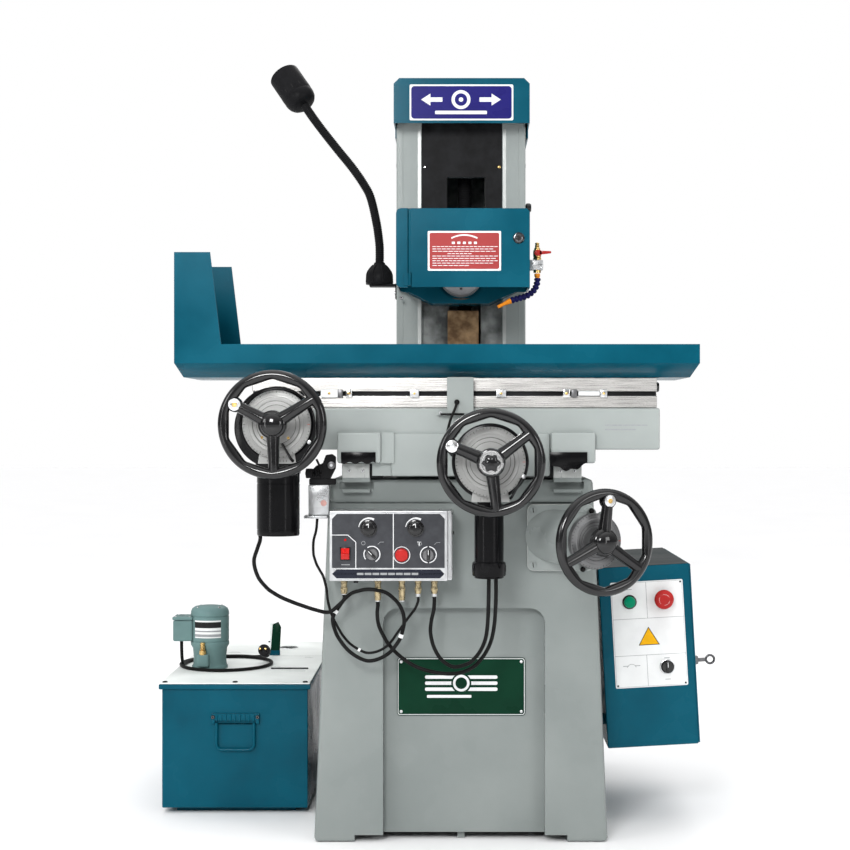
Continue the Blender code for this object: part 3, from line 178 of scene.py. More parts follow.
def material(name, colour, roughness, metallic=0.0, coat=0.0, mottle=0.08, scale=9.0, grain=0.15,
    grain_scale=350.0,
             stretch=(1, 1, 1), spread=0.08, pattern="noise", tint=None, specular=None):
    """A procedural finish: colour varies by mottle, roughness by spread, under a bump of fine grain.
    pattern is noise, hammered, streaks along the axis that stretch is small on, or turned for rings about Z.
    specular is the shine where it isn't the usual one of paint or metal."""
    made = bpy.data.materials.new(name)
    made.use_nodes = True
    nodes, links = made.node_tree.nodes, made.node_tree.links
    shader = nodes["Principled BSDF"]
    shader.inputs["Metallic"].default_value = metallic
    shader.inputs["Specular IOR Level"].default_value = specular or (0.5 if metallic else PAINT_SPECULAR)
    shader.inputs["Coat Weight"].default_value = coat * COAT_SHARE
    shader.inputs["Coat Roughness"].default_value = 0.06
    place = nodes.new("ShaderNodeTexCoord").outputs["Object"]
    if pattern == "turned":
        split = nodes.new("ShaderNodeSeparateXYZ")
        links.new(place, split.inputs[0])
        squares = [nodes.new("ShaderNodeMath") for _ in "xy"]
        for axis, square in zip("XY", squares):
            square.operation = "MULTIPLY"
            links.new(split.outputs[axis], square.inputs[0])
            links.new(split.outputs[axis], square.inputs[1])
        total = nodes.new("ShaderNodeMath")
        total.operation = "ADD"
        links.new(squares[0].outputs[0], total.inputs[0])
        links.new(squares[1].outputs[0], total.inputs[1])
        radius = nodes.new("ShaderNodeMath")
        radius.operation = "SQRT"
        links.new(total.outputs[0], radius.inputs[0])
        joined = nodes.new("ShaderNodeCombineXYZ")
        links.new(radius.outputs[0], joined.inputs["X"])
        links.new(split.outputs["Z"], joined.inputs["Y"])
        fine_place = joined.outputs[0]
    else:
        mapping = nodes.new("ShaderNodeMapping")
        mapping.inputs["Scale"].default_value = stretch
        links.new(place, mapping.inputs["Vector"])
        fine_place = mapping.outputs[0]

    broad = nodes.new("ShaderNodeTexNoise")
    broad.inputs["Scale"].default_value = scale
    broad.inputs["Detail"].default_value = 6
    links.new(place, broad.inputs["Vector"])
    fine = nodes.new("ShaderNodeTexVoronoi" if pattern == "hammered" else "ShaderNodeTexNoise")
    fine.inputs["Scale"].default_value = grain_scale
    links.new(fine_place, fine.inputs["Vector"])
    if pattern != "hammered":
        fine.inputs["Detail"].default_value = 3

    blend = nodes.new("ShaderNodeMixRGB")
    blend.blend_type = "MIX"
    low = [channel * (1 - mottle) for channel in colour]
    high = [min(1, channel * (1 + mottle)) for channel in (tint or colour)]
    blend.inputs[1].default_value = (*low, 1)
    blend.inputs[2].default_value = (*high, 1)
    contrast = nodes.new("ShaderNodeMapRange")
    contrast.inputs["From Min"].default_value = 0.35
    contrast.inputs["From Max"].default_value = 0.65
    links.new(broad.outputs["Fac"], contrast.inputs["Value"])
    links.new(contrast.outputs[0], blend.inputs[0])
    links.new(blend.outputs[0], shader.inputs["Base Color"])

    gloss = nodes.new("ShaderNodeMapRange")
    gloss.inputs["From Min"].default_value = 0.3
    gloss.inputs["From Max"].default_value = 0.7
    gloss.inputs["To Min"].default_value = max(0.03, roughness - spread)
    gloss.inputs["To Max"].default_value = roughness + spread
    source = fine if pattern in ("streaks", "turned") else broad
    links.new(source.outputs["Fac" if source.bl_idname == "ShaderNodeTexNoise" else "Distance"],
        gloss.inputs["Value"])
    links.new(gloss.outputs[0], shader.inputs["Roughness"])

    bump = nodes.new("ShaderNodeBump")
    bump.inputs["Strength"].default_value = grain
    bump.inputs["Distance"].default_value = 0.0004
    links.new(fine.outputs["Distance" if pattern == "hammered" else "Fac"], bump.inputs["Height"])
    links.new(bump.outputs[0], shader.inputs["Normal"])
    return made


# One casting enamel in three shades: casting_enamel is the plain one, the base's copy is darker as painted
# shade, and the column's and saddle's copy is lighter as painted light.
CASTING = material("casting_enamel", (0.268, 0.295, 0.288), 0.30, coat=0.35, mottle=0.05, scale=5, grain=0.22,
                   grain_scale=240, tint=(0.285, 0.310, 0.302))
SHADED_CASTING = material("base_enamel_painted_shade", (0.212, 0.236, 0.230), 0.30, coat=0.35, mottle=0.05, scale=5,
    grain=0.22,
                       grain_scale=240, tint=(0.226, 0.248, 0.241))
LIT_CASTING = material("slide_enamel_painted_light", (0.300, 0.328, 0.320), 0.30, coat=0.35, mottle=0.05, scale=5,
    grain=0.22,
                        grain_scale=240, tint=(0.318, 0.346, 0.337))
# Darker scraped grey: bare metal of the column's recess, and painted shade on the inner faces of its hollow.
SCRAPED_AND_SHADE = material("scraped_recess_and_painted_shade", (0.16, 0.168, 0.165), 0.50, mottle=0.35, scale=26, grain=0.4,
                   grain_scale=320, stretch=(1, 1, 0.2), tint=(0.27, 0.28, 0.275))
BLACK_CHROME = material("black_chrome", (0.10, 0.10, 0.105), 0.14, 1.0, mottle=0.12, scale=60, grain=0.08)
LAMP_BLACK = material("lamp_black", (0.010, 0.010, 0.011), 0.42, mottle=0.2, scale=15, grain=0.18)
TEAL = material("teal_enamel", (0.0015, 0.066, 0.104), 0.25, coat=0.3, mottle=0.10, scale=6, grain=0.16,
                grain_scale=190, tint=(0.002, 0.078, 0.120))
BLACK = material("black_gloss", (0.003, 0.003, 0.0035), 0.11, mottle=0.2, scale=20, grain=0.04,
    grain_scale=500,
                 spread=0.04, specular=0.50)
BLACK_ENAMEL = material("black_enamel", (0.003, 0.003, 0.0035), 0.15, mottle=0.2, scale=15, grain=0.14,
    spread=0.05,
                        specular=0.12)
MATT_BLACK = material("matt_black", (0.018, 0.018, 0.019), 0.55, mottle=0.35, scale=14, grain=0.3,
    grain_scale=500)
STEEL = material("ground_steel", (0.66, 0.645, 0.625), 0.28, 1.0, mottle=0.07, scale=9, grain=0.10,
    grain_scale=700,
                 stretch=(0.02, 1, 1), spread=0.07, pattern="streaks")
DARK_STEEL = material("dark_steel", (0.16, 0.16, 0.165), 0.38, 1.0, mottle=0.25, scale=30, grain=0.3)
DIAL = material("satin_dial", (0.31, 0.312, 0.305), 0.36, 0.6, mottle=0.04, scale=25, grain=0.5,
    grain_scale=1600,
                spread=0.10, pattern="turned")
# A darker copy of the satin dial finish for the vertical wheel's dial: painted shade.
SHADED_DIAL = material("dial_painted_shade", (0.17, 0.172, 0.175), 0.38, 0.6, mottle=0.08, scale=25, grain=0.5,
    grain_scale=1600,
                    spread=0.10, pattern="turned")
SPINDLE_GREY = material("spindle_grey", (0.16, 0.163, 0.168), 0.36, 0.8, mottle=0.12, scale=40, grain=0.3,
                        grain_scale=900, pattern="turned")
# Light scraped metal of the ways, also laid round the feed cover's edge as a painted highlight.
WAY_METAL_AND_EDGE_HIGHLIGHT = material("scraped_way_and_painted_highlight", (0.40, 0.415, 0.405), 0.34, 0.3, mottle=0.07, scale=40, grain=0.3,
    grain_scale=700,
                      stretch=(1, 1, 0.05), pattern="streaks")
# Near-black painted shade, for the pockets under the way ends and for the elevating screw down in the column.
INNER_PAINTED_SHADE = material("inner_painted_shade", (0.012, 0.012, 0.013), 0.7, mottle=0.3, scale=18, grain=0.3)
CHARCOAL = material("charcoal_sheet", (0.012, 0.012, 0.013), 0.42, mottle=0.45, scale=30, grain=0.35,
    grain_scale=420)
# The cabinet's teal darkened for its top face: painted shade.
CABINET_TOP_SHADE = material("cabinet_top_painted_shade", (0.011, 0.020, 0.021), 0.36, mottle=0.15, scale=9, grain=0.2)
CHROME = material("chrome", (0.82, 0.82, 0.82), 0.10, 1.0, mottle=0.03, scale=40, grain=0.05, spread=0.05)
ZINC = material("zinc", (0.62, 0.63, 0.64), 0.30, 1.0, mottle=0.15, scale=90, grain=0.25, grain_scale=900)
BRASS = material("brass", (0.62, 0.42, 0.16), 0.24, 1.0, mottle=0.18, scale=60, grain=0.2, grain_scale=700)
GLAND = material("nickel_brass", (0.40, 0.33, 0.20), 0.28, 1.0, mottle=0.25, scale=120, grain=0.2,
    grain_scale=900)
SILVER = material("silver_hammered", (0.55, 0.56, 0.57), 0.32, 0.75, mottle=0.08, scale=30, grain=0.35,
    grain_scale=260,
                  pattern="hammered")
FILM = material("printed_film", (0.052, 0.054, 0.060), 0.42, mottle=0.10, scale=60, grain=0.25,
    grain_scale=1500)
STRIP = material("printed_strip", (0.020, 0.022, 0.032), 0.38, mottle=0.10, scale=60, grain=0.2,
    grain_scale=1500)
INK = material("white_ink", (0.72, 0.73, 0.74), 0.4, mottle=0.04, scale=200, grain=0.1, grain_scale=1500)
GREY_INK = material("grey_ink", (0.30, 0.31, 0.32), 0.45, mottle=0.08, scale=200, grain=0.1, grain_scale=1500)
BLACK_INK = material("black_ink", (0.02, 0.02, 0.02), 0.45, mottle=0.1, scale=200, grain=0.1,
    grain_scale=1500)
RED_INK = material("red_ink", (0.55, 0.03, 0.02), 0.45, mottle=0.1, scale=200, grain=0.1, grain_scale=1500)
WHITE = material("white_plastic", (0.78, 0.79, 0.79), 0.35, mottle=0.04, scale=20, grain=0.1)
# Light grey lid enamel, made lighter than its own grey as painted light against the machine's shadow on it.
LIGHTENED_LID = material("lid_enamel_painted_light", (0.84, 0.87, 0.85), 0.33, coat=0.2, mottle=0.07, scale=7, grain=0.2,
    grain_scale=200)
RED = material("red_plastic", (0.42, 0.026, 0.024), 0.22, coat=0.4, mottle=0.12, scale=50, grain=0.08)
GLOW_RED = material("lens_red", (0.50, 0.014, 0.012), 0.12, coat=0.6, mottle=0.2, scale=90, grain=0.05)
GREEN = material("green_plastic", (0.0, 0.24, 0.12), 0.22, coat=0.4, mottle=0.12, scale=50, grain=0.08)
YELLOW = material("yellow_ink", (0.82, 0.42, 0.01), 0.35, mottle=0.05, scale=80, grain=0.1)
ORANGE = material("orange_plastic", (0.75, 0.25, 0.02), 0.33, mottle=0.12, scale=80, grain=0.15)
PINK = material("pink_lens", (0.75, 0.42, 0.38), 0.2, coat=0.5, mottle=0.15, scale=90, grain=0.1)
FIBRE = material("brown_fibre", (0.26, 0.155, 0.085), 0.8, mottle=0.35, scale=45, grain=0.8, grain_scale=260,
                 stretch=(1, 1, 0.25), tint=(0.34, 0.22, 0.12))
HOSE = material("blue_hose", (0.012, 0.012, 0.075), 0.33, coat=0.2, mottle=0.2, scale=60, grain=0.1)
PUMP = material("pump_enamel", (0.130, 0.215, 0.212), 0.30, coat=0.25, mottle=0.10, scale=14, grain=0.3,
    grain_scale=220)
RUBBER = material("cable_rubber", (0.010, 0.010, 0.010), 0.42, mottle=0.25, scale=40, grain=0.25,
    grain_scale=900)
PLATE_GREEN = material("plate_green", (0.003, 0.028, 0.014), 0.30, mottle=0.14, scale=12, grain=0.12)
SIGN_BLUE = material("sign_blue", (0.014, 0.012, 0.135), 0.28, coat=0.15, mottle=0.12, scale=9, grain=0.08)
LABEL_RED = material("label_red", (0.33, 0.050, 0.050), 0.36, coat=0.1, mottle=0.06, scale=12, grain=0.08)
BULB = material("bulb_glass", (0.85, 0.84, 0.78), 0.15, coat=0.6, mottle=0.03, scale=30, grain=0.03)


# ---------------------------------------------------------------- mesh tools

class Shape:
    """Solids gathered in one mesh, in the coordinates of place."""

    def __init__(self, place=None):
        self.place = place or Matrix()
        self.bm = bmesh.new()
        self.looks = []

    def take(self, bm, look, bevel=0.0, segments=3, turn=None):
        if look not in self.looks:
            self.looks.append(look)
        index = self.looks.index(look)
        bmesh.ops.recalc_face_normals(bm, faces=bm.faces)
        if bevel:
            edges = [edge for edge in bm.edges if len(edge.link_faces) == 2 and edge.calc_face_angle() > 0.5]
            bmesh.ops.bevel(bm, geom=edges, offset=bevel, segments=segments, profile=0.5, affect="EDGES",
                            clamp_overlap=True)
        if turn:
            bmesh.ops.transform(bm, matrix=turn, verts=bm.verts)
        for face in bm.faces:
            face.material_index = index
            face.smooth = True
        mesh = bpy.data.meshes.new("bit")
        bm.to_mesh(mesh)
        bm.free()
        self.bm.from_mesh(mesh)
        bpy.data.meshes.remove(mesh)

    def block(self, look, x, y, z, bevel=0.001, segments=3, turn=None):
        bm = bmesh.new()
        low, high = (Vector(corner) for corner in zip(x, y, z))
        bmesh.ops.create_cube(bm, size=1.0, matrix=Matrix.LocRotScale((low + high) / 2, None, high - low))
        self.take(bm, look, bevel, segments, turn)

    def rod(self, look, start, end, radius, end_radius=None, sides=32, bevel=0.0):
        start, end = Vector(start), Vector(end)
        bm = bmesh.new()
        bmesh.ops.create_cone(
            bm, cap_ends=True, segments=sides, radius1=radius,
            radius2=radius if end_radius is None else end_radius,
            depth=(end - start).length,
            matrix=Matrix.LocRotScale((start + end) / 2, (end - start).to_track_quat("Z", "Y"), None),
        )
        self.take(bm, look, bevel, 2)

    def turned(self, look, profile, at=(0, 0, 0), axis=(0, 0, 1), sides=72):
        """A profile of (radius, height) points, listed down the outside, turned about the axis through at."""
        place = Matrix.LocRotScale(at, Vector(axis).to_track_quat("Z", "Y"), None)
        bm = bmesh.new()
        rings = []
        for radius, height in profile:
            count = 1 if radius < 1e-6 else sides
            rings.append([
                bm.verts.new(place @ Vector((radius * math.cos(a), radius * math.sin(a), height)))
                for a in (2 * math.pi * step / sides for step in range(count))
            ])
        for upper, lower in zip(rings, rings[1:]):
            for step in range(sides):
                after = (step + 1) % sides
                corners = [upper[step % len(upper)], lower[step % len(lower)],
                           lower[after % len(lower)], upper[after % len(upper)]]
                corners = list(dict.fromkeys(corners))
                if len(corners) > 2:
                    bm.faces.new(corners)
        self.take(bm, look)

    def prism(self, look, outline, y, bevel=0.0, turn=None):
        """An outline of (x, z) points between two depths along Y."""
        bm = bmesh.new()
        front = [bm.verts.new((x, y[0], z)) for x, z in outline]
        bm.faces.new(front)
        made = bmesh.ops.extrude_face_region(bm, geom=bm.faces[:])
        moved = [item for item in made["geom"] if isinstance(item, bmesh.types.BMVert)]
        bmesh.ops.translate(bm, verts=moved, vec=(0, y[1] - y[0], 0))
        self.take(bm, look, bevel, 2, turn)

    def stroke(self, look, points, width, y):
        """A printed line through (x, z) points, as one mitred outline. width may be (first, last)."""
        points = [Vector(point) for point in points]
        first, last = (width, width) if isinstance(width, float) else width
        count = len(points) - 1
        closed = (points[0] - points[-1]).length < 1e-6
        left, right = [], []
        for index, point in enumerate(points):
            before = points[index - 1] if index else (points[-2] if closed else 2 * point - points[1])
            after = points[index + 1] if index < count else (points[1] if closed else 2 * point - points[-2])
            ahead, behind = (after - point).normalized(), (point - before).normalized()
            normal = Vector((-behind.y, behind.x))
            mitre = (normal + Vector((-ahead.y, ahead.x))).normalized()
            half = (first + (last - first) * index / count) / 2
            aside = mitre * half / max(0.3, mitre.dot(normal))
            if not closed and index in (0, count):
                point = point + ahead * (half if index else -half)
            left.append(tuple(point + aside))
            right.append(tuple(point - aside))
        self.prism(look, [*left, *reversed(right)], (y, y - PRINT))

    def tube(self, look, points, radii, sides=20, caps=True):
        """A tube through points. radii is one radius, or one for each point."""
        points = [Vector(point) for point in points]
        radii = [radii] * len(points) if isinstance(radii, float) else radii
        bm = bmesh.new()
        ahead = (points[1] - points[0]).normalized()
        side = ahead.orthogonal().normalized()
        rings = []
        for index, point in enumerate(points):
            before, after = points[max(0, index - 1)], points[min(len(points) - 1, index + 1)]
            turned_to = (after - before).normalized()
            side = (ahead.rotation_difference(turned_to) @ side).normalized()
            ahead = turned_to
            other = ahead.cross(side)
            rings.append([
                bm.verts.new(point + radii[index] * (math.cos(a) * side + math.sin(a) * other))
                for a in (2 * math.pi * step / sides for step in range(sides))
            ])
        for one, two in zip(rings, rings[1:]):
            for step in range(sides):
                after = (step + 1) % sides
                bm.faces.new((one[step], one[after], two[after], two[step]))
        if caps:
            bm.faces.new(rings[0][::-1])
            bm.faces.new(rings[-1])
        self.take(bm, look)

    def sphere(self, look, at, radius, scale=(1, 1, 1)):
        bm = bmesh.new()
        bmesh.ops.create_uvsphere(bm, u_segments=24, v_segments=14, radius=radius,
                                  matrix=Matrix.LocRotScale(at, None, scale))
        self.take(bm, look)

    def build(self, name, body, stands_for=(), sharp=35):
        mesh = bpy.data.meshes.new(name)
        self.bm.to_mesh(mesh)
        self.bm.free()
        for look in self.looks:
            mesh.materials.append(look)
        mesh.set_sharp_from_angle(angle=math.radians(sharp))
        obj = bpy.data.objects.new(name, mesh)
        bpy.context.scene.collection.objects.link(obj)
        obj.matrix_world = self.place
        if body:
            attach(obj, body)
        if stands_for:
            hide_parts(*stands_for)
        return obj


def rounded(x, z, radius, steps=6):
    """The outline of a rectangle with round corners."""
    points = []
    for corner, (cx, cz) in enumerate(
        ((x[1] - radius, z[1] - radius), (x[0] + radius, z[1] - radius),
         (x[0] + radius, z[0] + radius), (x[1] - radius, z[0] + radius))
    ):
        for step in range(steps + 1):
            angle = (corner + step / steps) * math.pi / 2
            points.append((cx + radius * math.cos(angle), cz + radius * math.sin(angle)))
    return points


def cut_corners(x, z, by):
    """The outline of a rectangle whose corners are cut off at 45 degrees."""
    return [(x[0] + by, z[0]), (x[1] - by, z[0]), (x[1], z[0] + by), (x[1], z[1] - by),
            (x[1] - by, z[1]), (x[0] + by, z[1]), (x[0], z[1] - by), (x[0], z[0] + by)]


def arc(centre, radius, start, end, steps=24):
    angles = [math.radians(start + (end - start) * step / steps) for step in range(steps + 1)]
    return [(centre[0] + radius * math.cos(a), centre[1] + radius * math.sin(a)) for a in angles]


def grown(span, by):
    return span[0] - by, span[1] + by


def smooth_route(stops, spacing):
    """Points about a spacing apart on one smooth curve through the stops."""
    stops = [Vector(stop) for stop in stops]
    ends = [2 * stops[0] - stops[1], *stops, 2 * stops[-1] - stops[-2]]
    points = []
    for before, start, end, after in zip(ends, ends[1:], ends[2:], ends[3:]):
        count = max(1, round((end - start).length / spacing))
        for step in range(count):
            t = step / count
            points.append(
                0.5 * (2 * start + (end - before) * t + (2 * before - 5 * start + 4 * end - after) * t * t
                       + (3 * start - before - 3 * end + after) * t ** 3)
            )
    return [tuple(point) for point in (*points, stops[-1])]


def length_of(points):
    return sum((Vector(b) - Vector(a)).length for a, b in zip(points, points[1:]))


def refine(node, look, edge=0.0008, second=None, chosen=None):
    """Rounds a CAD node's edges, smooths it and paints it, with a second look on the faces that chosen picks.
    Its own mesh stays as it is."""
    obj = frame["nodes"][node]
    for attribute in ("custom_normal", "sharp_edge", "sharp_face"):
        if attribute in obj.data.attributes:
            obj.data.attributes.remove(obj.data.attributes[attribute])
    obj.data.materials.clear()
    obj.data.materials.append(look)
    if second:
        obj.data.materials.append(second)
    for face in obj.data.polygons:
        face.use_smooth = True
        if second and chosen(obj.matrix_world @ face.center, obj.matrix_world.to_3x3() @ face.normal):
            face.material_index = 1
    weld = obj.modifiers.new("weld", "WELD")
    weld.merge_threshold = 0.00002
    flat = obj.modifiers.new("flat", "DECIMATE")
    flat.decimate_type = "DISSOLVE"
    flat.angle_limit = math.radians(1)
    if edge:
        bevel = obj.modifiers.new("edges", "BEVEL")
        bevel.width = edge
        bevel.segments = 2
        bevel.limit_method = "ANGLE"
        bevel.angle_limit = math.radians(35)
        bevel.harden_normals = True
    normals = obj.modifiers.new("normals", "WEIGHTED_NORMAL")
    normals.keep_sharp = False
    return obj


def screw(shape, look, at, radius, axis=(0, -1, 0), height=0.0015, slot=True, turn=0.6):
    """A round screw head with a slot or a hexagon socket, standing out along the axis from at. The slot and
    the socket are black marks on the head, painted shade in place of a cut.
    """
    dark = BLACK_INK
    shape.turned(look,
        ((0, height), (radius * 0.75, height), (radius, height * 0.55), (radius, -0.0002), (0, -0.0002)),
                 at, axis, sides=28)
    axis = Vector(axis)
    top = Vector(at) + (height - 0.0001) * axis
    if slot:
        across = (Matrix.Rotation(turn, 3, axis) @ axis.orthogonal()).normalized()
        side = across.cross(axis)
        box = Matrix(((*across, 0), (*side, 0), (*axis, 0), (0, 0, 0, 1))).transposed()
        box.translation = top
        reach = radius * 0.72
        shape.block(dark, (-reach, reach), (-radius * 0.13, radius * 0.13), (-0.0001, 0.00015), bevel=0,
            turn=box)
    else:
        shape.rod(dark, top - 0.0002 * axis, top + 0.00015 * axis, radius * 0.5, sides=6)


# ---------------------------------------------------------------- handwheels, dials and drives

def local_frame(joint):
    """The frame of a joint's wheel: X to the right, Y up, Z out along the shaft towards the operator."""
    out = Vector(joints[joint]["axis"]).normalized()
    up = Vector((0, 0, 1))
    right = up.cross(out).normalized()
    place = Matrix((right, up, out)).transposed().to_4x4()
    place.translation = Vector(joints[joint]["pos_m"])
    return place


def rim(shape, look):
    """A moulded rim with ten flat finger grips round its inside."""
    grips, around, across = 10, 160, 20
    bm = bmesh.new()
    major = WHEEL_RADIUS - RIM_RADIUS
    nearest = 0.0792
    rings = []
    for i in range(around):
        angle = 2 * math.pi * i / around
        local = (angle + math.pi / grips) % (2 * math.pi / grips) - math.pi / grips
        depth = (major - min(nearest / math.cos(local), 0.0826)) / RIM_RADIUS
        ring = []
        for j in range(across):
            tilt = 2 * math.pi * j / across
            inwards = math.cos(tilt)
            radius = major + RIM_RADIUS * inwards * (depth if inwards < 0 else 1)
            ring.append(bm.verts.new((radius * math.cos(angle), radius * math.sin(angle),
                RIM_RADIUS * math.sin(tilt))))
        rings.append(ring)
    for i in range(around):
        one, two = rings[i], rings[(i + 1) % around]
        for j in range(across):
            after = (j + 1) % across
            bm.faces.new((one[j], one[after], two[after], two[j]))
    shape.take(bm, look)


def handwheel(side, boss_angle, node, body, boss_look, centre_look):
    place = local_frame(side + "_handwheel_turn")
    shape = Shape(place)
    rim(shape, BLACK)
    for number in range(3):
        angle = math.radians(boss_angle + 120 * number)
        out = Vector((math.cos(angle), math.sin(angle), 0))
        points = [out * reach + Vector((0, 0, height)) for reach, height in
                  ((0.008, -0.005), (0.020, -0.004), (0.045, -0.002), (0.070, 0.0), (0.080, 0.0),
                      (0.088, 0.0))]
        shape.tube(BLACK, points, [0.0145, 0.0128, 0.0112, 0.0102, 0.0100, 0.0098], sides=24)
        if number == 0:
            at = BOSS_AT * out
            shape.turned(BLACK,
                ((0, 0.009), (0.0125, 0.009), (0.0135, 0.0075), (0.0140, -0.008), (0.012, -0.0105),
                                 (0, -0.0105)), at, sides=40)
            shape.turned(boss_look,
                ((0, 0.0102), (0.0098, 0.0102), (0.0112, 0.0094), (0.0112, 0.0085), (0, 0.0085)),
                         at, sides=40)
            shape.turned(centre_look, ((0, 0.0108), (0.0042, 0.0108), (0.0050, 0.0100), (0, 0.0100)), at,
                sides=32)
    if side == "centre":
        shape.turned(BLACK,
            ((0.0215, 0.0125), (0.0245, 0.0120), (0.0265, 0.0090), (0.0270, -0.008), (0.019, -0.022),
                             (0, -0.022)))
        shape.turned(CHROME,
            ((0, 0.0150), (0.0165, 0.0150), (0.0180, 0.0166), (0.0205, 0.0166), (0.0222, 0.0150),
                              (0.0230, 0.0120), (0.0230, 0.0090), (0, 0.0090)))
    else:
        dome = [(0.0215 * math.sin(a), 0.0070 + 0.0100 * math.cos(a)) for a in
                (math.pi / 2 * step / 8 for step in range(9))]
        shape.turned(BLACK, (*dome, (0.0235, 0.0060), (0.0260, 0.0030), (0.0265, -0.010), (0.018, -0.022),
                             (0, -0.022)))
    shape.build(node + "_moulded", body, (node,))


def dial(side, node, body, radius, face, back, shaft_end, look=DIAL, screws=()):
    """A graduated collar with raised rings, turned with its wheel."""
    place = local_frame(side + "_handwheel_turn")
    shape = Shape(place)
    steps = ((0, -0.0225), (0.0140, -0.0225), (0.0140, face - 0.0020), (0.0235, face - 0.0020),
        (0.0245, face - 0.0006))
    share = (0.46, 0.56, 0.57, 0.70, 0.71, 0.80)
    heights = (0.0, 0.0, -0.0008, -0.0008, 0.0004, 0.0004)
    rings = [(radius * part, face + height - 0.0006) for part, height in zip(share, heights)]
    profile = (*steps, *rings, (radius * 0.82, face - 0.0016), (radius - 0.0006, face - 0.0030),
               (radius, face - 0.0040), (radius, back), (0.010, back), (0.010, shaft_end), (0, shaft_end))
    shape.turned(look, profile, sides=128)
    inner, outer = radius * 0.83, radius - 0.0008
    count = 60 if radius > 0.055 else 50
    for number in range(count):
        angle = 2 * math.pi * number / count
        reach = outer - (0.0050 if number % 10 == 0 else 0.0038 if number % 5 == 0 else 0.0026)
        out = Vector((math.cos(angle), math.sin(angle), 0))
        slope = (0.0014 / (outer - inner))
        start, end = (out * r + Vector((0, 0, face - 0.0015 - (r - inner) * slope)) for r in (reach, outer))
        along = end - start
        turn = Matrix.LocRotScale((start + end) / 2, along.to_track_quat("X", "Z"), None)
        half = along.length / 2
        ink = RED_INK if number == 0 else BLACK_INK
        shape.block(ink, (-half, half), (-0.00040, 0.00040), (-0.0001, 0.00012), bevel=0, turn=turn)
    # Thin black rings at the foot of the two steps in the dial face: painted shade in the creases.
    for part in (0.580, 0.693):
        outer, level = radius * part, face - 0.0013
        shape.turned(BLACK_INK, ((outer, level), (outer, level - 0.0004), (outer - 0.0007, level - 0.0004),
                                 (outer - 0.0007, level), (outer, level)), sides=96)
    for x, y in screws:
        screw(shape, BRASS, (x, y, face - 0.0012), 0.0027, (0, 0, 1), height=0.0014)
    shape.build(node + "_engraved", body, (node,))


def index_plate(side, radius, face, body):
    """The fixed plate below a dial that its zero line is read against, with its marks."""
    shape = Shape(local_frame(side + "_handwheel_turn"))
    low, high = -radius - 0.0095, -radius * 0.55
    outline = ((-0.036, low), (0.036, low), (0.030, high), (-0.030, high))
    swap = Matrix(((1, 0, 0, 0), (0, 0, 1, 0), (0, -1, 0, 0), (0, 0, 0, 1)))
    shape.prism(DIAL, outline, (-face + 0.0006, -face + 0.0021), bevel=0.0003, turn=swap)
    for number in range(7):
        x = -0.018 + 0.006 * number
        shape.block(BLACK_INK, (x - 0.0003, x + 0.0003), (-radius - 0.0065, -radius - 0.0020),
            (face - 0.0007, face - 0.00045),
                    bevel=0)
    shape.build(side + "_index_plate", body)


def left_drive():
    place = local_frame("left_handwheel_turn")
    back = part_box("left_drive_housing")[1].y
    depth = joints["left_handwheel_turn"]["pos_m"][1] - back
    shape = Shape(place)
    shape.turned(BLACK_ENAMEL, (
        (0.0103, -0.0825), (0.0675, -0.0825), (0.0700, -0.0833), (0.0718, -0.0850), (0.0720, -0.0875),
        (0.0720, -0.1030),
        (0.0700, -0.1060), (0.0620, -0.1120), (0.0550, -0.1200), (0.0520, -0.1280), (0.0500, -0.1450),
        (0.0470, -0.1600),
        (0.0450, depth), (0.0103, depth)), sides=96)
    shape.turned(BLACK_ENAMEL, ((0.0103, -0.0842), (0.0745, -0.0842), (0.0765, -0.0855), (0.0770, -0.0880),
                                (0.0770, -0.1000), (0.0750, -0.1030), (0.0103, -0.1030)),
                                (-0.004, -0.006, 0), sides=96)
    shape.block(BLACK_ENAMEL, (-0.0425, 0.0385), (-0.100, 0.0), (-0.165, -0.090), bevel=0.011, segments=5)
    motor = (-0.002, -0.080, -0.124)
    shape.turned(BLACK_ENAMEL, (
        (0, 0.000), (0.0405, 0.000), (0.0405, -0.030), (0.0398, -0.0305), (0.0398, -0.0325), (0.0405, -0.033),
        (0.0405, -0.118), (0.0398, -0.1185), (0.0398, -0.1200), (0.0402, -0.1205), (0.0402, -0.1280),
        (0.0390, -0.1305),
        (0, -0.1305)), motor, (0, 1, 0), sides=80)
    for x in (-0.030, 0.026):
        screw(shape, DARK_STEEL, (x, -0.090, -0.0905), 0.0032, (0, 0, 1), slot=False)
    shape.build("left_drive_cast", "saddle", ("left_drive_housing",))


def centre_drive():
    place = local_frame("centre_handwheel_turn")
    depth = joints["centre_handwheel_turn"]["pos_m"][1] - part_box("centre_drive_housing")[1].y
    shape = Shape(place)
    shape.turned(BLACK_ENAMEL, (
        (0.0103, -0.0832), (0.0690, -0.0832), (0.0712, -0.0842), (0.0725, -0.0865), (0.0725, -0.0985),
        (0.0700, -0.1010),
        (0.0560, -0.1090), (0.0490, -0.1160), (0.0450, -0.1230), (0.0430, -0.1420), (0.0300, -0.1460),
        (0.0300, depth),
        (0.0103, depth)),
        sides=96)
    shape.block(BLACK_ENAMEL, (-0.024, 0.020), (-0.090, 0.0), (-0.125, -0.085), bevel=0.007, segments=4)
    motor = (-0.002, -0.080, -0.100)
    shape.turned(BLACK_ENAMEL, (
        (0, 0.0), (0.0276, 0.0), (0.0276, -0.108), (0.0300, -0.1090), (0.0318, -0.1110), (0.0320, -0.1330),
        (0.0306, -0.1352), (0.0276, -0.1356), (0.0276, -0.1385), (0.0262, -0.1395), (0, -0.1395)), motor,
        (0, 1, 0),
        sides=72)
    shape.block(ZINC, (-0.024, 0.020), (-0.0925, -0.0905), (-0.0845, -0.0838), bevel=0.0003)
    for x in (-0.030, 0.026):
        shape.block(BLACK_ENAMEL, (x - 0.004, x + 0.004), (-0.209, -0.193), (-0.108, -0.092), bevel=0.002)
    shape.build("centre_drive_cast", "saddle", ("centre_drive_housing",))


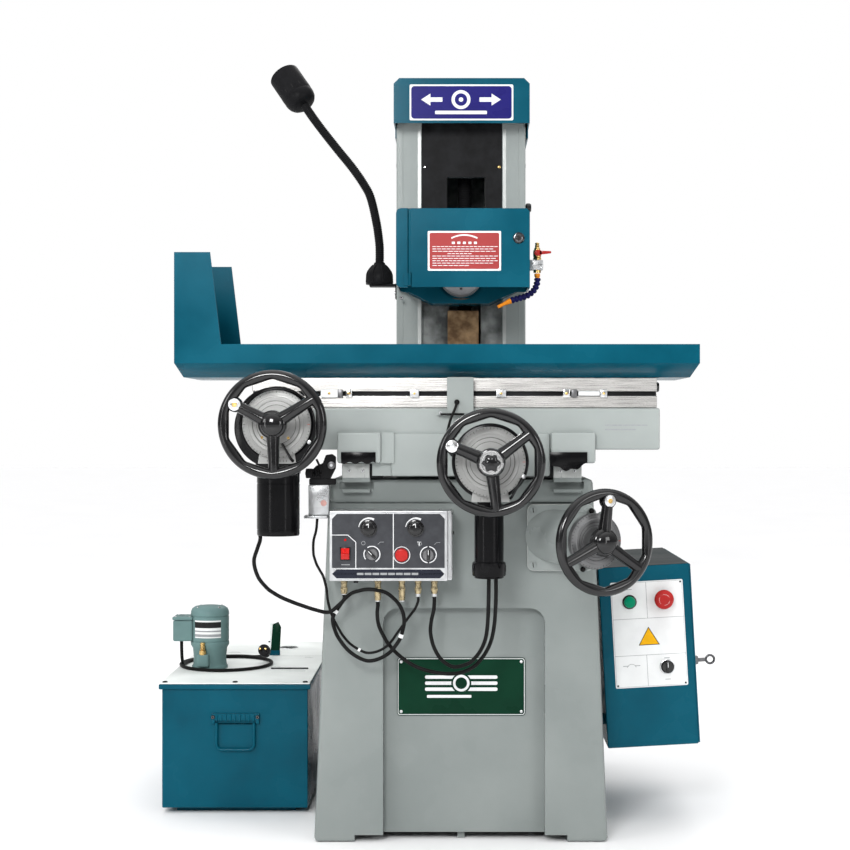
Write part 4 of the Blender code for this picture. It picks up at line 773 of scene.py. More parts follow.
def star_knob():
    shape = Shape(local_frame("centre_handwheel_turn"))
    bm = bmesh.new()
    sides = 96
    rings = []
    for height, reach, wave in ((0.0176, 0.0085, 0), (0.0205, 0.0125, 0.3), (0.0225, 0.0145, 1),
        (0.0265, 0.0150, 1),
                                (0.0290, 0.0128, 0.8), (0.0302, 0.0090, 0.4), (0.0309, 0.0050, 0.1)):
        rings.append([
            bm.verts.new(((reach + 0.0019 * wave * math.cos(6 * a)) * math.cos(a),
                          (reach + 0.0019 * wave * math.cos(6 * a)) * math.sin(a), height))
            for a in (2 * math.pi * step / sides for step in range(sides))
        ])
    for one, two in zip(rings, rings[1:]):
        for step in range(sides):
            after = (step + 1) % sides
            bm.faces.new((one[step], one[after], two[after], two[step]))
    bm.faces.new(rings[0])
    bm.faces.new(rings[-1])
    shape.take(bm, BLACK)
    shape.build("star_knob_moulded", "star_knob", ("star_knob",), sharp=60)


def elevating_box():
    """The drum on the cover plate, its cover screws and the round pad beside it."""
    refine("elevating_gearbox", CASTING, 0.0012)
    refine("feed_cover_plate", CASTING, 0.0015)
    low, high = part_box("feed_cover_plate")
    shape = Shape()
    for z in (low.z + 0.012, high.z - 0.012):
        screw(shape, CASTING, (low.x + 0.012, low.y, z), 0.0068, height=0.0022, turn=0.9)
    outline = rounded((low.x + 0.0012, high.x - 0.0012), (low.z + 0.0012, high.z - 0.0012), 0.0115, 5)
    # A thin bright line round the cover plate's edge: painted highlight.
    shape.tube(WAY_METAL_AND_EDGE_HIGHLIGHT, [(x, low.y - 0.0001, z) for x, z in (*outline, outline[0])], 0.0007, sides=8)
    shape.build("feed_cover_screws", "frame")
    lugs = Shape(local_frame("right_handwheel_turn"))
    for angle in (92, 58, 249):
        across, up = math.cos(math.radians(angle)), math.sin(math.radians(angle))
        screw(lugs, BLACK_ENAMEL, (0.0565 * across, 0.0565 * up, -0.0500), 0.0050, (0, 0, 1),
            height=0.0045, slot=False)
    lugs.build("gearbox_screws", "frame")


def wheels():
    handwheel("left", 152, "left_handwheel", "left_wheel", ZINC, BRASS)
    handwheel("centre", 157, "centre_handwheel", "centre_wheel", CHROME, ZINC)
    handwheel("right", 85, "right_handwheel", "right_wheel", ZINC, BRASS)
    dial("left", "left_dial", "left_wheel", 0.0640, -0.0670, -0.0822, -0.23,
        screws=((0.0223, -0.0253), (-0.0267, -0.0240)))
    dial("centre", "centre_dial", "centre_wheel", 0.0660, -0.0670, -0.0822, -0.23)
    dial("right", "vertical_dial", "right_wheel", 0.0525, -0.0305, -0.0472, -0.11, look=SHADED_DIAL)
    index_plate("left", 0.0640, -0.0800, "saddle")
    index_plate("centre", 0.0660, -0.0800, "saddle")
    left_drive()
    centre_drive()
    star_knob()
    elevating_box()
    dial_clamp("left", [(0.0300, -0.0680, -0.0760), (0.0267, -0.0628, -0.0650), (0.0185, -0.0480, -0.0630),
                        (0.0108, -0.0356, -0.0630)], (0.0600, -0.0330, -0.0830), "saddle")
    dial_clamp("centre", [(0.0380, -0.0680, -0.0760), (0.0406, -0.0639, -0.0660), (0.0500, -0.0470, -0.0640),
                          (0.0593, -0.0302, -0.0640)], (0.0620, -0.0270, -0.0640), "saddle")


def dial_clamp(side, lever, tip, body):
    """The little lever that locks a dial, with its bright stud."""
    shape = Shape(local_frame(side + "_handwheel_turn"))
    shape.tube(BLACK, lever, [0.0030, 0.0026, 0.0024, 0.0028], sides=14)
    shape.turned(ZINC, ((0, 0.003), (0.0036, 0.0025), (0.0040, -0.003), (0, -0.003)), tip, sides=24)
    shape.build(side + "_dial_clamp", body)


# ---------------------------------------------------------------- base and column

def base():
    # The base takes the darker copy of the casting enamel (painted shade), the saddle the lighter copy
    # (painted light).
    refine("base_casting", SHADED_CASTING, 0.0025)
    refine("saddle_casting", LIT_CASTING, 0.0018)
    low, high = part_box("nameplate")
    refine("nameplate", PLATE_GREEN, 0.0003)
    shape = Shape()
    front = low.y
    width, height = high.x - low.x, high.z - low.z
    shape.prism(INK, rounded((low.x + 0.0015, high.x - 0.0015), (low.z + 0.0015, high.z - 0.0015), 0.005),
                (front, front - 0.00012))
    shape.prism(PLATE_GREEN,
        rounded((low.x + 0.0027, high.x - 0.0027), (low.z + 0.0027, high.z - 0.0027), 0.004),
                (front - 0.0001, front - 0.0003))
    face = front - 0.0003
    centre = (low.x + width * 0.5, low.z + height * 0.56)
    for step in range(3):
        z = centre[1] - 0.0120 + 0.0120 * step
        shape.prism(INK, rounded((centre[0] - 0.0720, centre[0] + 0.0720), (z - 0.0034, z + 0.0034), 0.003),
                    (face, face - PRINT))
    shape.prism(PLATE_GREEN, arc(centre, 0.0200, 0, 360, 40)[:-1], (face - 0.0001, face - 0.0002))
    shape.prism(INK, arc(centre, 0.0165, 0, 360, 40)[:-1], (face - 0.0002, face - 0.0003))
    shape.prism(PLATE_GREEN, arc(centre, 0.0115, 0, 360, 40)[:-1], (face - 0.0003, face - 0.0004))
    shape.prism(INK,
        rounded((centre[0] - 0.068, centre[0] + 0.020), (centre[1] - 0.0290, centre[1] - 0.0235), 0.001),
                (face, face - PRINT))
    for x in (low.x + 0.008, high.x - 0.008):
        for z in (low.z + 0.008, high.z - 0.008):
            shape.sphere(ZINC, (x, face, z), 0.0033, (1, 0.5, 1))
    shape.build("nameplate_print", "frame")

    sticker = Shape()
    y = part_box("saddle_casting")[0].y + 0.0198
    for row, share in enumerate((1.0, 0.72)):
        z = 0.8222 - 0.0085 * row
        sticker.stroke(GREY_INK, [(0.282, z), (0.282 + 0.080 * share, z)], 0.0022, y)
    sticker.build("saddle_print", "saddle")

    ways = Shape()
    for outer, inner, droop in ((-0.2323, -0.1653, 0.0), (0.2445, 0.1720, 0.0140)):
        x0, x1 = min(outer, inner), max(outer, inner)
        wave = [(x0 + (x1 - x0) * step / 24, 0.7490 - 0.0022 * math.sin(2 * math.pi * step / 8)
                 - droop * math.sin(math.pi * step / 24)) for step in range(25)]
        ways.prism(BLACK_ENAMEL, [(x1, 0.7700), (x0, 0.7700), *wave], (-0.4605, -0.4640), bevel=0.0006)
        ways.block(MATT_BLACK, (x0, x1), (-0.4600, -0.4555), (0.7535, 0.7700), bevel=0.0008)
    ways.build("way_wipers", "saddle")
    ends = Shape()
    for x0, x1 in ((-0.2315, -0.1785), (0.1805, 0.2355)):
        inner = 1 if x1 < 0 else -1
        ends.block(WAY_METAL_AND_EDGE_HIGHLIGHT, (x0, x1), (-0.4335, -0.4315), (0.7192, 0.7470), bevel=0.0008)
        edge = x1 if x1 < 0 else x0
        # A near-black block in the pocket under each way end: painted shade.
        pocket = sorted((edge + inner * 0.0015, edge + inner * 0.0260))
        ends.block(INNER_PAINTED_SHADE, pocket, (-0.4330, -0.4050), (0.7192, 0.7470), bevel=0.0004)
        for share in (0.25, 0.75):
            screw(ends, ZINC, (x0 + share * (x1 - x0), -0.4335, 0.7330), 0.0032, slot=False)
    ends.build("way_ends", "frame")


def column():
    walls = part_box("column_casting")

    def inside(point, normal):
        """Whether a face of the column looks into its hollow. These faces get the darker scraped grey: bare
        scraped metal in the recess, painted shade on the hollow's inner faces.
        """
        middle = Vector((0, (walls[0].y + walls[1].y) / 2, point.z))
        within = abs(point.x) < walls[1].x - 0.005 and walls[0].y + 0.003 < point.y < walls[1].y - 0.005
        return within and point.z > 0.74 and (normal.dot(middle - point) > 0 or point.y < 0.05)

    refine("column_casting", LIT_CASTING, 0.0015, SCRAPED_AND_SHADE, inside)
    refine("column_cap", TEAL, 0.0015)
    refine("way_cover", CHARCOAL, 0.0004)
    refine("screw_cover", FIBRE, 0.0006)
    sign = Shape()
    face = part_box("column_cap")[0].y
    x, z = (-0.1110, 0.1130), (1.4805, 1.5580)
    sign.prism(WHITE, rounded(x, z, 0.003), (face, face - 0.0012), bevel=0.0003)
    sign.prism(SIGN_BLUE, rounded(grown(x, -0.0035), grown(z, -0.0035), 0.007),
        (face - 0.0011, face - 0.0014))
    centre_z = (z[0] + z[1]) / 2
    ink = face - 0.0014
    ring_z = centre_z + 0.0060
    for radius, look, level in ((0.0205, INK, 0), (0.0135, SIGN_BLUE, 0.0001), (0.0048, INK, 0.0002)):
        sign.prism(look, arc((0, ring_z), radius, 0, 360, 48)[:-1], (ink - level, ink - level - 0.0001))
    sign.prism(INK, rounded((-0.0560, 0.0560), (centre_z - 0.0255, centre_z - 0.0180), 0.002),
        (ink, ink - PRINT))
    for side in (-1, 1):
        tip, root, tail = side * 0.0860, side * 0.0660, side * 0.0400
        sign.prism(INK, ((tip, ring_z), (root, ring_z + 0.0130), (root, ring_z - 0.0130)), (ink, ink - PRINT))
        sign.prism(INK, rounded(sorted((root, tail)), (ring_z - 0.0048, ring_z + 0.0048), 0.001),
            (ink, ink - PRINT))
    sign.build("cap_sign", "frame")

    rods = Shape()
    cover_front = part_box("way_cover")[0].y
    for x, radius, look in ((-0.0798, 0.0022, ZINC), (0.0840, 0.0034, BRASS)):
        screw(rods, look, (x, cover_front, 1.3905), radius, height=0.0012)
    column_low, column_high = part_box("column_casting")
    for x in ((-0.0948, -0.0882), (0.0924, 0.0990)):
        rods.block(WAY_METAL_AND_EDGE_HIGHLIGHT, x, (column_low.y - 0.0002, column_low.y + 0.001), COLUMN_STRIP, bevel=0)
    for x in (-0.1285, 0.1270):
        rods.block(LIT_CASTING, (x - 0.0011, x + 0.0011), (column_low.y - 0.0006, column_low.y + 0.001),
            COLUMN_STRIP,
                   bevel=0.0005)
    rods.turned(BLACK, ((0, 0.014), (0.0080, 0.0135), (0.0105, 0.010), (0.0105, 0.004), (0.006, 0.0), (0, 0)),
                (column_high.x, 0.030, 1.304), (1, 0, 0), sides=40)
    for y in (0.05, 0.20):
        for z in (0.90, 1.40):
            screw(rods, CASTING, (column_high.x, y, z), 0.006, (1, 0, 0), 0.002, slot=False)
            screw(rods, CASTING, (column_low.x, y, z), 0.006, (-1, 0, 0), 0.002, slot=False)
    rods.build("column_trim", "frame")

    elevating = Shape(Matrix.Translation((0.008, 0.08, 0)))
    profile = [(0, 1.45), (0.012, 1.45), (0.012, 1.42)]
    turns = 154
    for turn in range(turns):
        top = 1.42 - 0.004 * turn
        profile += [(0.0134, top), (0.0158, top - 0.0006), (0.0158, top - 0.0022), (0.0134, top - 0.0028)]
    profile += [(0.012, 0.80), (0.012, 0.737), (0, 0.737)]
    # The elevating screw is coloured near-black: painted shade of the column's hollow.
    elevating.turned(INNER_PAINTED_SHADE, profile, sides=24)
    elevating.build("elevating_screw_threads", "elevating_screw", ("elevating_screw",))


# ---------------------------------------------------------------- head, guard and coolant

def head():
    refine("head_casting", TEAL, 0.0015)
    refine("guard_shell", TEAL, 0.0008)
    refine("guard_door", TEAL, 0.0006)
    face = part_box("guard_door")[0].y + 0.0006
    label = Shape()
    x, z = (-0.0660, 0.0795), (1.1290, 1.2080)
    label.prism(WHITE, rounded(x, z, 0.002), (face, face - 0.0005), bevel=0.0001)
    label.prism(LABEL_RED, rounded(grown(x, -0.0035), grown(z, -0.0035), 0.004),
        (face - 0.0005, face - 0.0007))
    ink = face - 0.0007
    middle = sum(x) / 2
    label.stroke(INK, arc((middle, 1.1440), 0.0560, 116, 64, 18), 0.0030, ink)
    for number in range(5):
        mark = middle - 0.0220 + 0.0110 * number
        label.prism(INK, rounded((mark - 0.0030, mark + 0.0030), (1.1820, 1.1868), 0.0008),
            (ink, ink - PRINT))
    width = x[1] - x[0] - 0.020
    for row in range(9):
        line_z = 1.1770 - 0.0047 * row
        share = (1.0, 0.97, 0.99, 0.62, 1.0, 0.98, 0.99, 0.96, 0.55)[row]
        dash = 0.0052 + 0.0012 * (row % 3)
        left = x[0] + 0.010 + (0.030 if row == 3 else 0)
        while left < x[0] + 0.010 + width * share:
            label.stroke(INK, [(left, line_z), (left + dash, line_z)], 0.0013, ink)
            left += dash + 0.0030
    label.build("guard_label", "guard_door")

    latch = Shape()
    at = joints["door_latch_turn"]["pos_m"]
    latch.turned(BLACK_CHROME,
        ((0, 0.0088), (0.0052, 0.0088), (0.0062, 0.0080), (0.0095, 0.0076), (0.0112, 0.0058),
                              (0.0112, 0.0039), (0.0058, 0.0038), (0.0058, -0.007), (0, -0.007)), at,
                              (0, -1, 0),
                 sides=56)
    # A black mark for the latch's slot: painted shade, not cut.
    latch.block(BLACK_INK, (at[0] - 0.0010, at[0] + 0.0010), (at[1] - 0.00895, at[1] - 0.0086),
                (at[2] - 0.0042, at[2] + 0.0042), bevel=0)
    latch.block(CHROME, (at[0] - 0.0052, 0.1300), (-0.3652, -0.3632), (at[2] - 0.0045, at[2] + 0.0045),
        bevel=0.0004)
    latch.build("door_latch_turned", "door_latch", ("door_latch",))

    spindle = Shape()
    axis_at = joints["spindle_spin"]["pos_m"]
    spindle.turned(SPINDLE_GREY, (
        (0, 0.055), (0.0085, 0.055), (0.0098, 0.0535), (0.0100, 0.034), (0.0195, 0.034), (0.0200, 0.0335),
        (0.0200, 0.027), (0.0415, 0.025), (0.0438, 0.0232), (0.0440, 0.0120), (0.0400, 0.010),
        (0.0400, -0.010),
        (0.0440, -0.012), (0.0440, -0.0215), (0.0420, -0.022), (0.0200, -0.026), (0.0200, -0.078),
        (0.0345, -0.080),
        (0.0345, -0.225), (0.012, -0.225), (0.012, -0.245), (0, -0.245)), axis_at, (0, -1, 0), sides=96)
    for number in range(6):
        angle = math.radians(30 + 60 * number)
        at = (axis_at[0] + 0.031 * math.cos(angle), axis_at[1] - 0.0259, axis_at[2] + 0.031 * math.sin(angle))
        screw(spindle, DARK_STEEL, at, 0.0030, height=0.001, slot=False)
    spindle.build("spindle_turned", "spindle", ("spindle",))

    trim = Shape()
    for x in (-0.13, 0.13):
        for z in (1.10, 1.225):
            screw(trim, DARK_STEEL, (x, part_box("head_casting")[1].y - 0.1438, z), 0.0042, height=0.003,
                slot=False)
    trim.build("head_screws", "head")
    coolant()


def coolant():
    """The ball valve in its clamp on the guard, its lever, and the segmented nozzle."""
    low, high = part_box("coolant_valve")
    x, y = 0.1545, -0.300
    valve = Shape()
    valve.block(SILVER, (low.x, high.x), (-0.312, -0.288), (1.1360, 1.1570), bevel=0.0022)
    valve.block(BLACK_INK, (low.x + 0.018, high.x + 0.0001), (-0.3123, -0.2877), (1.1460, 1.1470), bevel=0)
    screw(valve, ZINC, (high.x - 0.0045, -0.312, 1.1415), 0.0030, slot=True)
    valve.turned(BRASS, (
        (0, 1.1925), (0.0026, 1.1925), (0.0040, 1.1915), (0.0046, 1.1895), (0.0036, 1.1885), (0.0044, 1.1865),
        (0.0048, 1.1850), (0.0038, 1.1838), (0.0050, 1.1820), (0.0062, 1.1800), (0.0062, 1.1775),
        (0.0078, 1.1765),
        (0.0082, 1.1720), (0.0082, 1.1680), (0.0078, 1.1630), (0.0062, 1.1615), (0.0062, 1.1570),
        (0.0075, 1.1570),
        (0.0075, 1.1310), (0, 1.1310)), (x, y, 0), sides=48)
    valve.rod(BRASS, (x, y, 1.1565), (x, y, 1.1615), 0.0092, sides=6, bevel=0.0005)
    valve.rod(BRASS, (x, -0.3065, 1.170), (x, -0.3165, 1.170), 0.0034, sides=24)
    valve.build("valve_body_turned", "head", ("coolant_valve",))

    lever = Shape()
    front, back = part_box("valve_lever")[0].y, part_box("valve_lever")[1].y
    lever.prism(RED, rounded((x - 0.0060, x + 0.0090), (1.1640, 1.1760), 0.0055), (back, front + 0.0002),
        bevel=0.0005)
    lever.prism(RED, ((x + 0.004, 1.1662), (x + 0.0270, 1.1690), (x + 0.0278, 1.1712), (x + 0.0270, 1.1735),
                      (x + 0.004, 1.1745)), (back, front + 0.0002), bevel=0.0006)
    lever.rod(RED, (x, front + 0.0003, 1.170), (x, front - 0.0012, 1.170), 0.0036, sides=24, bevel=0.0003)
    lever.build("valve_lever_moulded", "valve_lever", ("valve_lever",))

    stops = (
        (x, y, 1.1292), (0.1545, -0.301, 1.112), (0.148, -0.304, 1.096), (0.133, -0.308, 1.084),
        (0.113, -0.313, 1.0775), (0.0988, -0.317, 1.0727), (0.0744, -0.323, 1.0605),
    )
    route = smooth_route(stops, 0.0009)
    hose = Shape()
    total = length_of(route)
    pitch = 0.0082
    bead = ((0.00, 0.0046), (0.12, 0.0060), (0.30, 0.0068), (0.55, 0.0068), (0.75, 0.0057),
        (0.88, 0.0044), (1.00, 0.0046))
    travelled = 0.0
    radii = []
    for index, point in enumerate(route):
        if index:
            travelled += (Vector(point) - Vector(route[index - 1])).length
        part = (travelled / pitch) % 1.0
        after = next(i for i, stop in enumerate(bead) if stop[0] >= part)
        (p0, r0), (p1, r1) = bead[max(0, after - 1)], bead[after]
        radii.append(r0 + (r1 - r0) * ((part - p0) / (p1 - p0) if p1 > p0 else 0))
    tip = next(i for i in range(len(route)) if length_of(route[:i + 1]) > total - 0.030)
    nut = next(i for i in range(len(route)) if length_of(route[:i + 1]) > 0.009)
    hose.tube(HOSE, route[nut:tip + 1], radii[nut:tip + 1], sides=24)
    hose.tube(ORANGE, route[:nut + 1], [0.0058 if i < nut - 3 else 0.0046 for i in range(nut + 1)], sides=24)
    count = len(route) - tip
    hose.tube(ORANGE, route[tip:], [0.0060 - 0.0026 * min(1, i / (count * 0.55)) for i in range(count)],
        sides=24)
    hose.build("coolant_nozzle_segments", "head", ("coolant_nozzle",))


# ---------------------------------------------------------------- table

def table():
    refine("table_casting", STEEL, 0.0008)
    refine("splash_tray", TEAL, 0.0008)
    refine("sensor_bracket", CASTING, 0.0006)
    low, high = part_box("table_casting")
    front = low.y
    slot_z = DOG_SLOT
    fittings = Shape()
    # A matt black sheet at the bottom of the dog slot: painted shade.
    fittings.block(MATT_BLACK, (low.x + 0.001, high.x - 0.001), (front + 0.0080, front + 0.0088),
        grown(slot_z, -0.0003), bevel=0)
    for x, look in (((-0.2736, -0.2404), WHITE), ((-0.2403, -0.2306), DARK_STEEL), ((-0.0997, -0.0821), ZINC),
                    ((0.0684, 0.0879), ZINC), ((0.2150, 0.2267), DARK_STEEL), ((0.2716, 0.2853), ZINC)):
        fittings.block(look, x, (front - 0.0078, front - 0.0002), (0.8762, 0.8920), bevel=0.0012)
        fittings.block(DARK_STEEL, grown(x, -0.002), (front - 0.0010, front + 0.0070),
            grown(slot_z, -0.0006), bevel=0)
    for x in (-0.0909, 0.0782, 0.2785, -0.257):
        screw(fittings, BRASS, (x, front - 0.0078, 0.8842), 0.0026, height=0.001)
    fittings.turned(WHITE, ((0, 0.0085), (0.0040, 0.0085), (0.0048, 0.0070), (0.0048, -0.0330), (0, -0.0330)),
                    (0.2620, front - 0.0052, 0.8842), (1, 0, 0), sides=32)
    fittings.turned(BLACK, ((0, 0.012), (0.0085, 0.0115), (0.0100, 0.009), (0.0100, 0.001), (0, 0.001)),
                    (high.x, -0.36, 0.898), (1, 0, 0), sides=40)
    for x in (low.x, high.x):
        out = 1 if x > 0 else -1
        for y in (-0.385, -0.215):
            screw(fittings, DARK_STEEL, (x, y, 0.868), 0.0038, (out, 0, 0), height=0.002, slot=False)
    fittings.build("table_fittings", "table")

    for name in ("dog_left", "dog_right"):
        dog_low, dog_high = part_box(name)
        x = (dog_low.x, dog_high.x)
        dog = Shape()
        dog.block(CHROME, x, (dog_low.y, front - 0.0003), (dog_low.z, dog_high.z), bevel=0.0015)
        dog.block(DARK_STEEL, grown(x, -0.001), (front - 0.0010, dog_high.y), grown(slot_z, -0.0006),
            bevel=0.0002)
        screw(dog, BRASS, (sum(x) / 2, dog_low.y, 0.8842), 0.0030, height=0.0009)
        dog.build(name + "_milled", name, (name,))

    bolt = Shape()
    bracket_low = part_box("sensor_bracket")[0]
    for x in (-0.0395, 0.0200):
        screw(bolt, ZINC, (x, bracket_low.y + 0.0015, 0.8458), 0.0032, slot=False)
    bolt.turned(BLACK_ENAMEL, ((0, 0.0065), (0.0040, 0.006), (0.0052, 0.004), (0.0052, 0), (0, 0)),
                (-0.008, bracket_low.y, 0.867), (0, -1, 0), sides=32)
    bolt.block(BLACK_ENAMEL, (-0.040, 0.006), (bracket_low.y - 0.0040, bracket_low.y - 0.0002),
        (0.8415, 0.8455), bevel=0.001)
    bolt.build("sensor_fittings", "saddle")


# ---------------------------------------------------------------- control box and cabinet

def pointer_knob(name, centre, radius=0.0160):
    """A ribbed potentiometer knob with a white pointer line."""
    shape = Shape(Matrix.Translation(centre))
    bm = bmesh.new()
    sides = 120
    rings = []
    for height, reach, wave in ((0.0, radius, 0), (0.0028, radius, 0), (0.0032, radius * 0.86, 0),
        (0.0036, radius * 0.84, 1),
                                (0.0120, radius * 0.80, 1), (0.0145, radius * 0.76, 0.6),
                                (0.0156, radius * 0.66, 0),
                                (0.0160, radius * 0.30, 0)):
        rings.append([
            bm.verts.new(((reach + 0.00035 * wave * math.cos(24 * a)) * math.cos(a), -height,
                          (reach + 0.00035 * wave * math.cos(24 * a)) * math.sin(a)))
            for a in (2 * math.pi * step / sides for step in range(sides))
        ])
    for one, two in zip(rings, rings[1:]):
        for step in range(sides):
            after = (step + 1) % sides
            bm.faces.new((one[step], one[after], two[after], two[step]))
    bm.faces.new(rings[0])
    bm.faces.new(rings[-1])
    shape.take(bm, BLACK)
    shape.block(INK, (-0.0005, 0.0005), (-0.0161, -0.0158), (0.0020, 0.0100), bevel=0)
    shape.build(name + "_moulded", name, (name,))


def selector_knob(name, centre, lean):
    shape = Shape(Matrix.Translation(centre) @ Matrix.Rotation(math.radians(-lean), 4, "Y"))
    shape.turned(DARK_STEEL, ((0, 0.0040), (0.0095, 0.0040), (0.0112, 0.0028), (0.0115, 0.0), (0, 0)),
        axis=(0, -1, 0), sides=56)
    shape.block(BLACK, (-0.0030, 0.0030), (-0.0118, -0.0020), (-0.0100, 0.0100), bevel=0.0014)
    shape.block(INK, (-0.0006, 0.0006), (-0.0120, -0.0116), (0.0, 0.0090), bevel=0)
    shape.build(name + "_moulded", name, (name,))


def control_box():
    refine("control_box_shell", SILVER, 0.0008)
    refine("control_panel", SILVER, 0.0004)
    low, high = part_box("control_panel")
    face = low.y
    x, z = (low.x + 0.0014, high.x - 0.0018), (low.z + 0.0015, high.z - 0.0017)
    ink = face - 0.00010
    lines = Shape()
    foot, cut = z[0] + 0.0200, 0.0095
    lines.prism(FILM, ((x[0], foot), (x[1], foot), (x[1], z[1] - cut), (x[1] - cut, z[1]), (x[0] + cut, z[1]),
                       (x[0], z[1] - cut)), (face, ink))
    lines.prism(STRIP, cut_corners(x, (z[0], z[0] + 0.0172), 0.0090), (face, ink))
    stop_low, stop_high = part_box("stop_button")
    stop_at = ((stop_low.x + stop_high.x) / 2, (stop_low.z + stop_high.z) / 2)
    divider = -0.1299
    lines.stroke(INK, [(divider, z[0] + 0.0192), (divider, z[1])], 0.0015, ink)
    power = (-0.2172, -0.2018)
    lines.stroke(INK, [(x[0], 0.6115), (power[0], 0.6115), (power[1], 0.5977), (power[1], z[0] + 0.0192)],
        0.0013, ink)
    knobs = {name: joints[name + "_turn"]["pos_m"] for name in
             ("left_speed_knob", "right_speed_knob", "left_selector", "right_selector")}
    for name in ("left_speed_knob", "right_speed_knob"):
        at = (knobs[name][0], knobs[name][2])
        lines.stroke(INK, arc(at, 0.0194, 170, 65), (0.0014, 0.0040), ink)
    for name, gaps in (("left_selector", ((-60, 120), (150, 215))),
        ("right_selector", ((-80, 80), (100, 260)))):
        at = (knobs[name][0], knobs[name][2])
        for start, end in gaps:
            lines.stroke(INK, arc(at, 0.0153, start, end), 0.0019, ink)
        for side in (-1, 1):
            mark = (at[0] + side * 0.0165, at[1] + 0.0215)
            lines.stroke(GREY_INK, arc(mark, 0.0035, 0, 360, 20) if side < 0 else
                         [(mark[0] - 0.005, mark[1] - 0.002), (mark[0], mark[1] + 0.002),
                             (mark[0] + 0.006, mark[1] + 0.002)],
                         0.0008, ink)
    at = (knobs["right_selector"][0] - 0.0175, knobs["right_selector"][2] + 0.0215)
    lines.stroke(INK, [(at[0] - 0.003, at[1] + 0.003), (at[0] + 0.003, at[1] + 0.003)], 0.0016, ink)
    lines.stroke(INK, [(at[0], at[1] + 0.0020), (at[0], at[1] - 0.004)], 0.0018, ink)
    lines.stroke(INK, arc(stop_at, 0.0156, 0, 360, 48), 0.0014, ink)
    for number in range(8):
        left = x[0] + 0.050 + 0.0150 * number
        lines.stroke(GREY_INK, [(left, z[0] + 0.0086), (left + 0.0085, z[0] + 0.0086)], 0.0042, ink)
    lines.turned(GLOW_RED, ((0, 0.0022), (0.0016, 0.0018), (0.0024, 0.0008), (0.0024, 0), (0, 0)),
                 (-0.2221, ink, 0.6022), (0, -1, 0), sides=28)
    lines.stroke(GREY_INK, [(-0.2290, 0.5545), (-0.2140, 0.5545)], 0.0014, ink)
    lines.build("panel_print", "frame")

    for name in ("left_speed_knob", "right_speed_knob"):
        pointer_knob(name, knobs[name])
    selector_knob("left_selector", knobs["left_selector"], 45)
    selector_knob("right_selector", knobs["right_selector"], 0)

    button = Shape()
    button.turned(RED,
        ((0, 0.0078), (0.0080, 0.0076), (0.0112, 0.0068), (0.0124, 0.0050), (0.0128, 0.0001), (0, 0.0001)),
                  (stop_at[0], stop_high.y, stop_at[1]), (0, -1, 0), sides=56)
    button.build("stop_button_moulded", "stop_button", ("stop_button",))

    rocker_low, rocker_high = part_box("rocker_switch")
    rx, rz = (rocker_low.x, rocker_high.x), (rocker_low.z, rocker_high.z)
    middle = sum(rz) / 2
    rocker = Shape()
    rocker.block(GLOW_RED, grown(rx, -0.0020), (rocker_low.y + 0.0004, rocker_high.y),
        (middle, rz[1] - 0.0018), bevel=0.0010,
                 turn=Matrix.Translation((0, 0.0004, 0)))
    rocker.block(RED, grown(rx, -0.0020), (rocker_low.y, rocker_high.y), (rz[0] + 0.0018, middle),
        bevel=0.0012)
    rocker.stroke(INK, [(sum(rx) / 2, middle + 0.0035), (sum(rx) / 2, middle + 0.0075)], 0.0009,
        rocker_low.y + 0.0009)
    rocker.build("rocker_moulded", "rocker_switch", ("rocker_switch",))
    bezel = Shape()
    for span_x, span_z in ((rx, (rz[0], rz[0] + 0.0015)), (rx, (rz[1] - 0.0015, rz[1])),
                           ((rx[0], rx[0] + 0.0017), rz), ((rx[1] - 0.0017, rx[1]), rz)):
        bezel.block(BLACK, span_x, (face - 0.0026, face - 0.0001), span_z, bevel=0.0006)
    for number, (gx, gz) in enumerate(GLANDS):
        profile = ((0, 0.0), (0.0062, 0.0), (0.0066, -0.0010), (0.0066, -0.0080), (0.0058, -0.0088),
            (0.0058, -0.0150),
                   (0.0064, -0.0156), (0.0064, -0.0255 if gz > 0.485 else -0.0390),
                   (0.0050, -0.0290 if gz > 0.485 else -0.0420),
                   (0.0043, gz - BOX_FOOT + 0.0002), (0, gz - BOX_FOOT + 0.0002))
        bezel.turned(GLAND, profile, (gx, GLAND_Y, BOX_FOOT), sides=40)
        bezel.rod(GLAND, (gx, GLAND_Y, 0.5229), (gx, GLAND_Y, 0.5190), 0.0086, sides=6, bevel=0.0006)
        bezel.rod(GLAND, (gx, GLAND_Y, 0.5065), (gx, GLAND_Y, 0.5015), 0.0078, sides=6, bevel=0.0006)
    shell_low, shell_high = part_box("control_box_shell")
    for px in (shell_low.x + 0.020, -0.040):
        screw(bezel, ZINC, (px, -0.44, 0.6575), 0.0035, (0, 0, 1))
    bezel.turned(BLACK, ((0, 0.003), (0.0032, 0.0026), (0.0036, 0), (0, 0)),
        (shell_high.x, -0.44, 0.6125), (1, 0, 0), sides=24)
    bezel.block(BLACK_ENAMEL, (-0.2075, -0.1985), (-0.470, -0.462), (0.5175, 0.5233), bevel=0.001)
    bezel.build("control_box_fittings", "frame")


def cabinet_place():
    """The cabinet's own frame: its origin at the top left front corner, leaning with the side of the base."""
    lean = Vector(joints["cabinet_door_swing"]["axis"])
    roll = math.atan2(lean.x, lean.z)
    return Matrix.Translation(CABINET_CORNER) @ Matrix.Rotation(roll, 4, "Y")


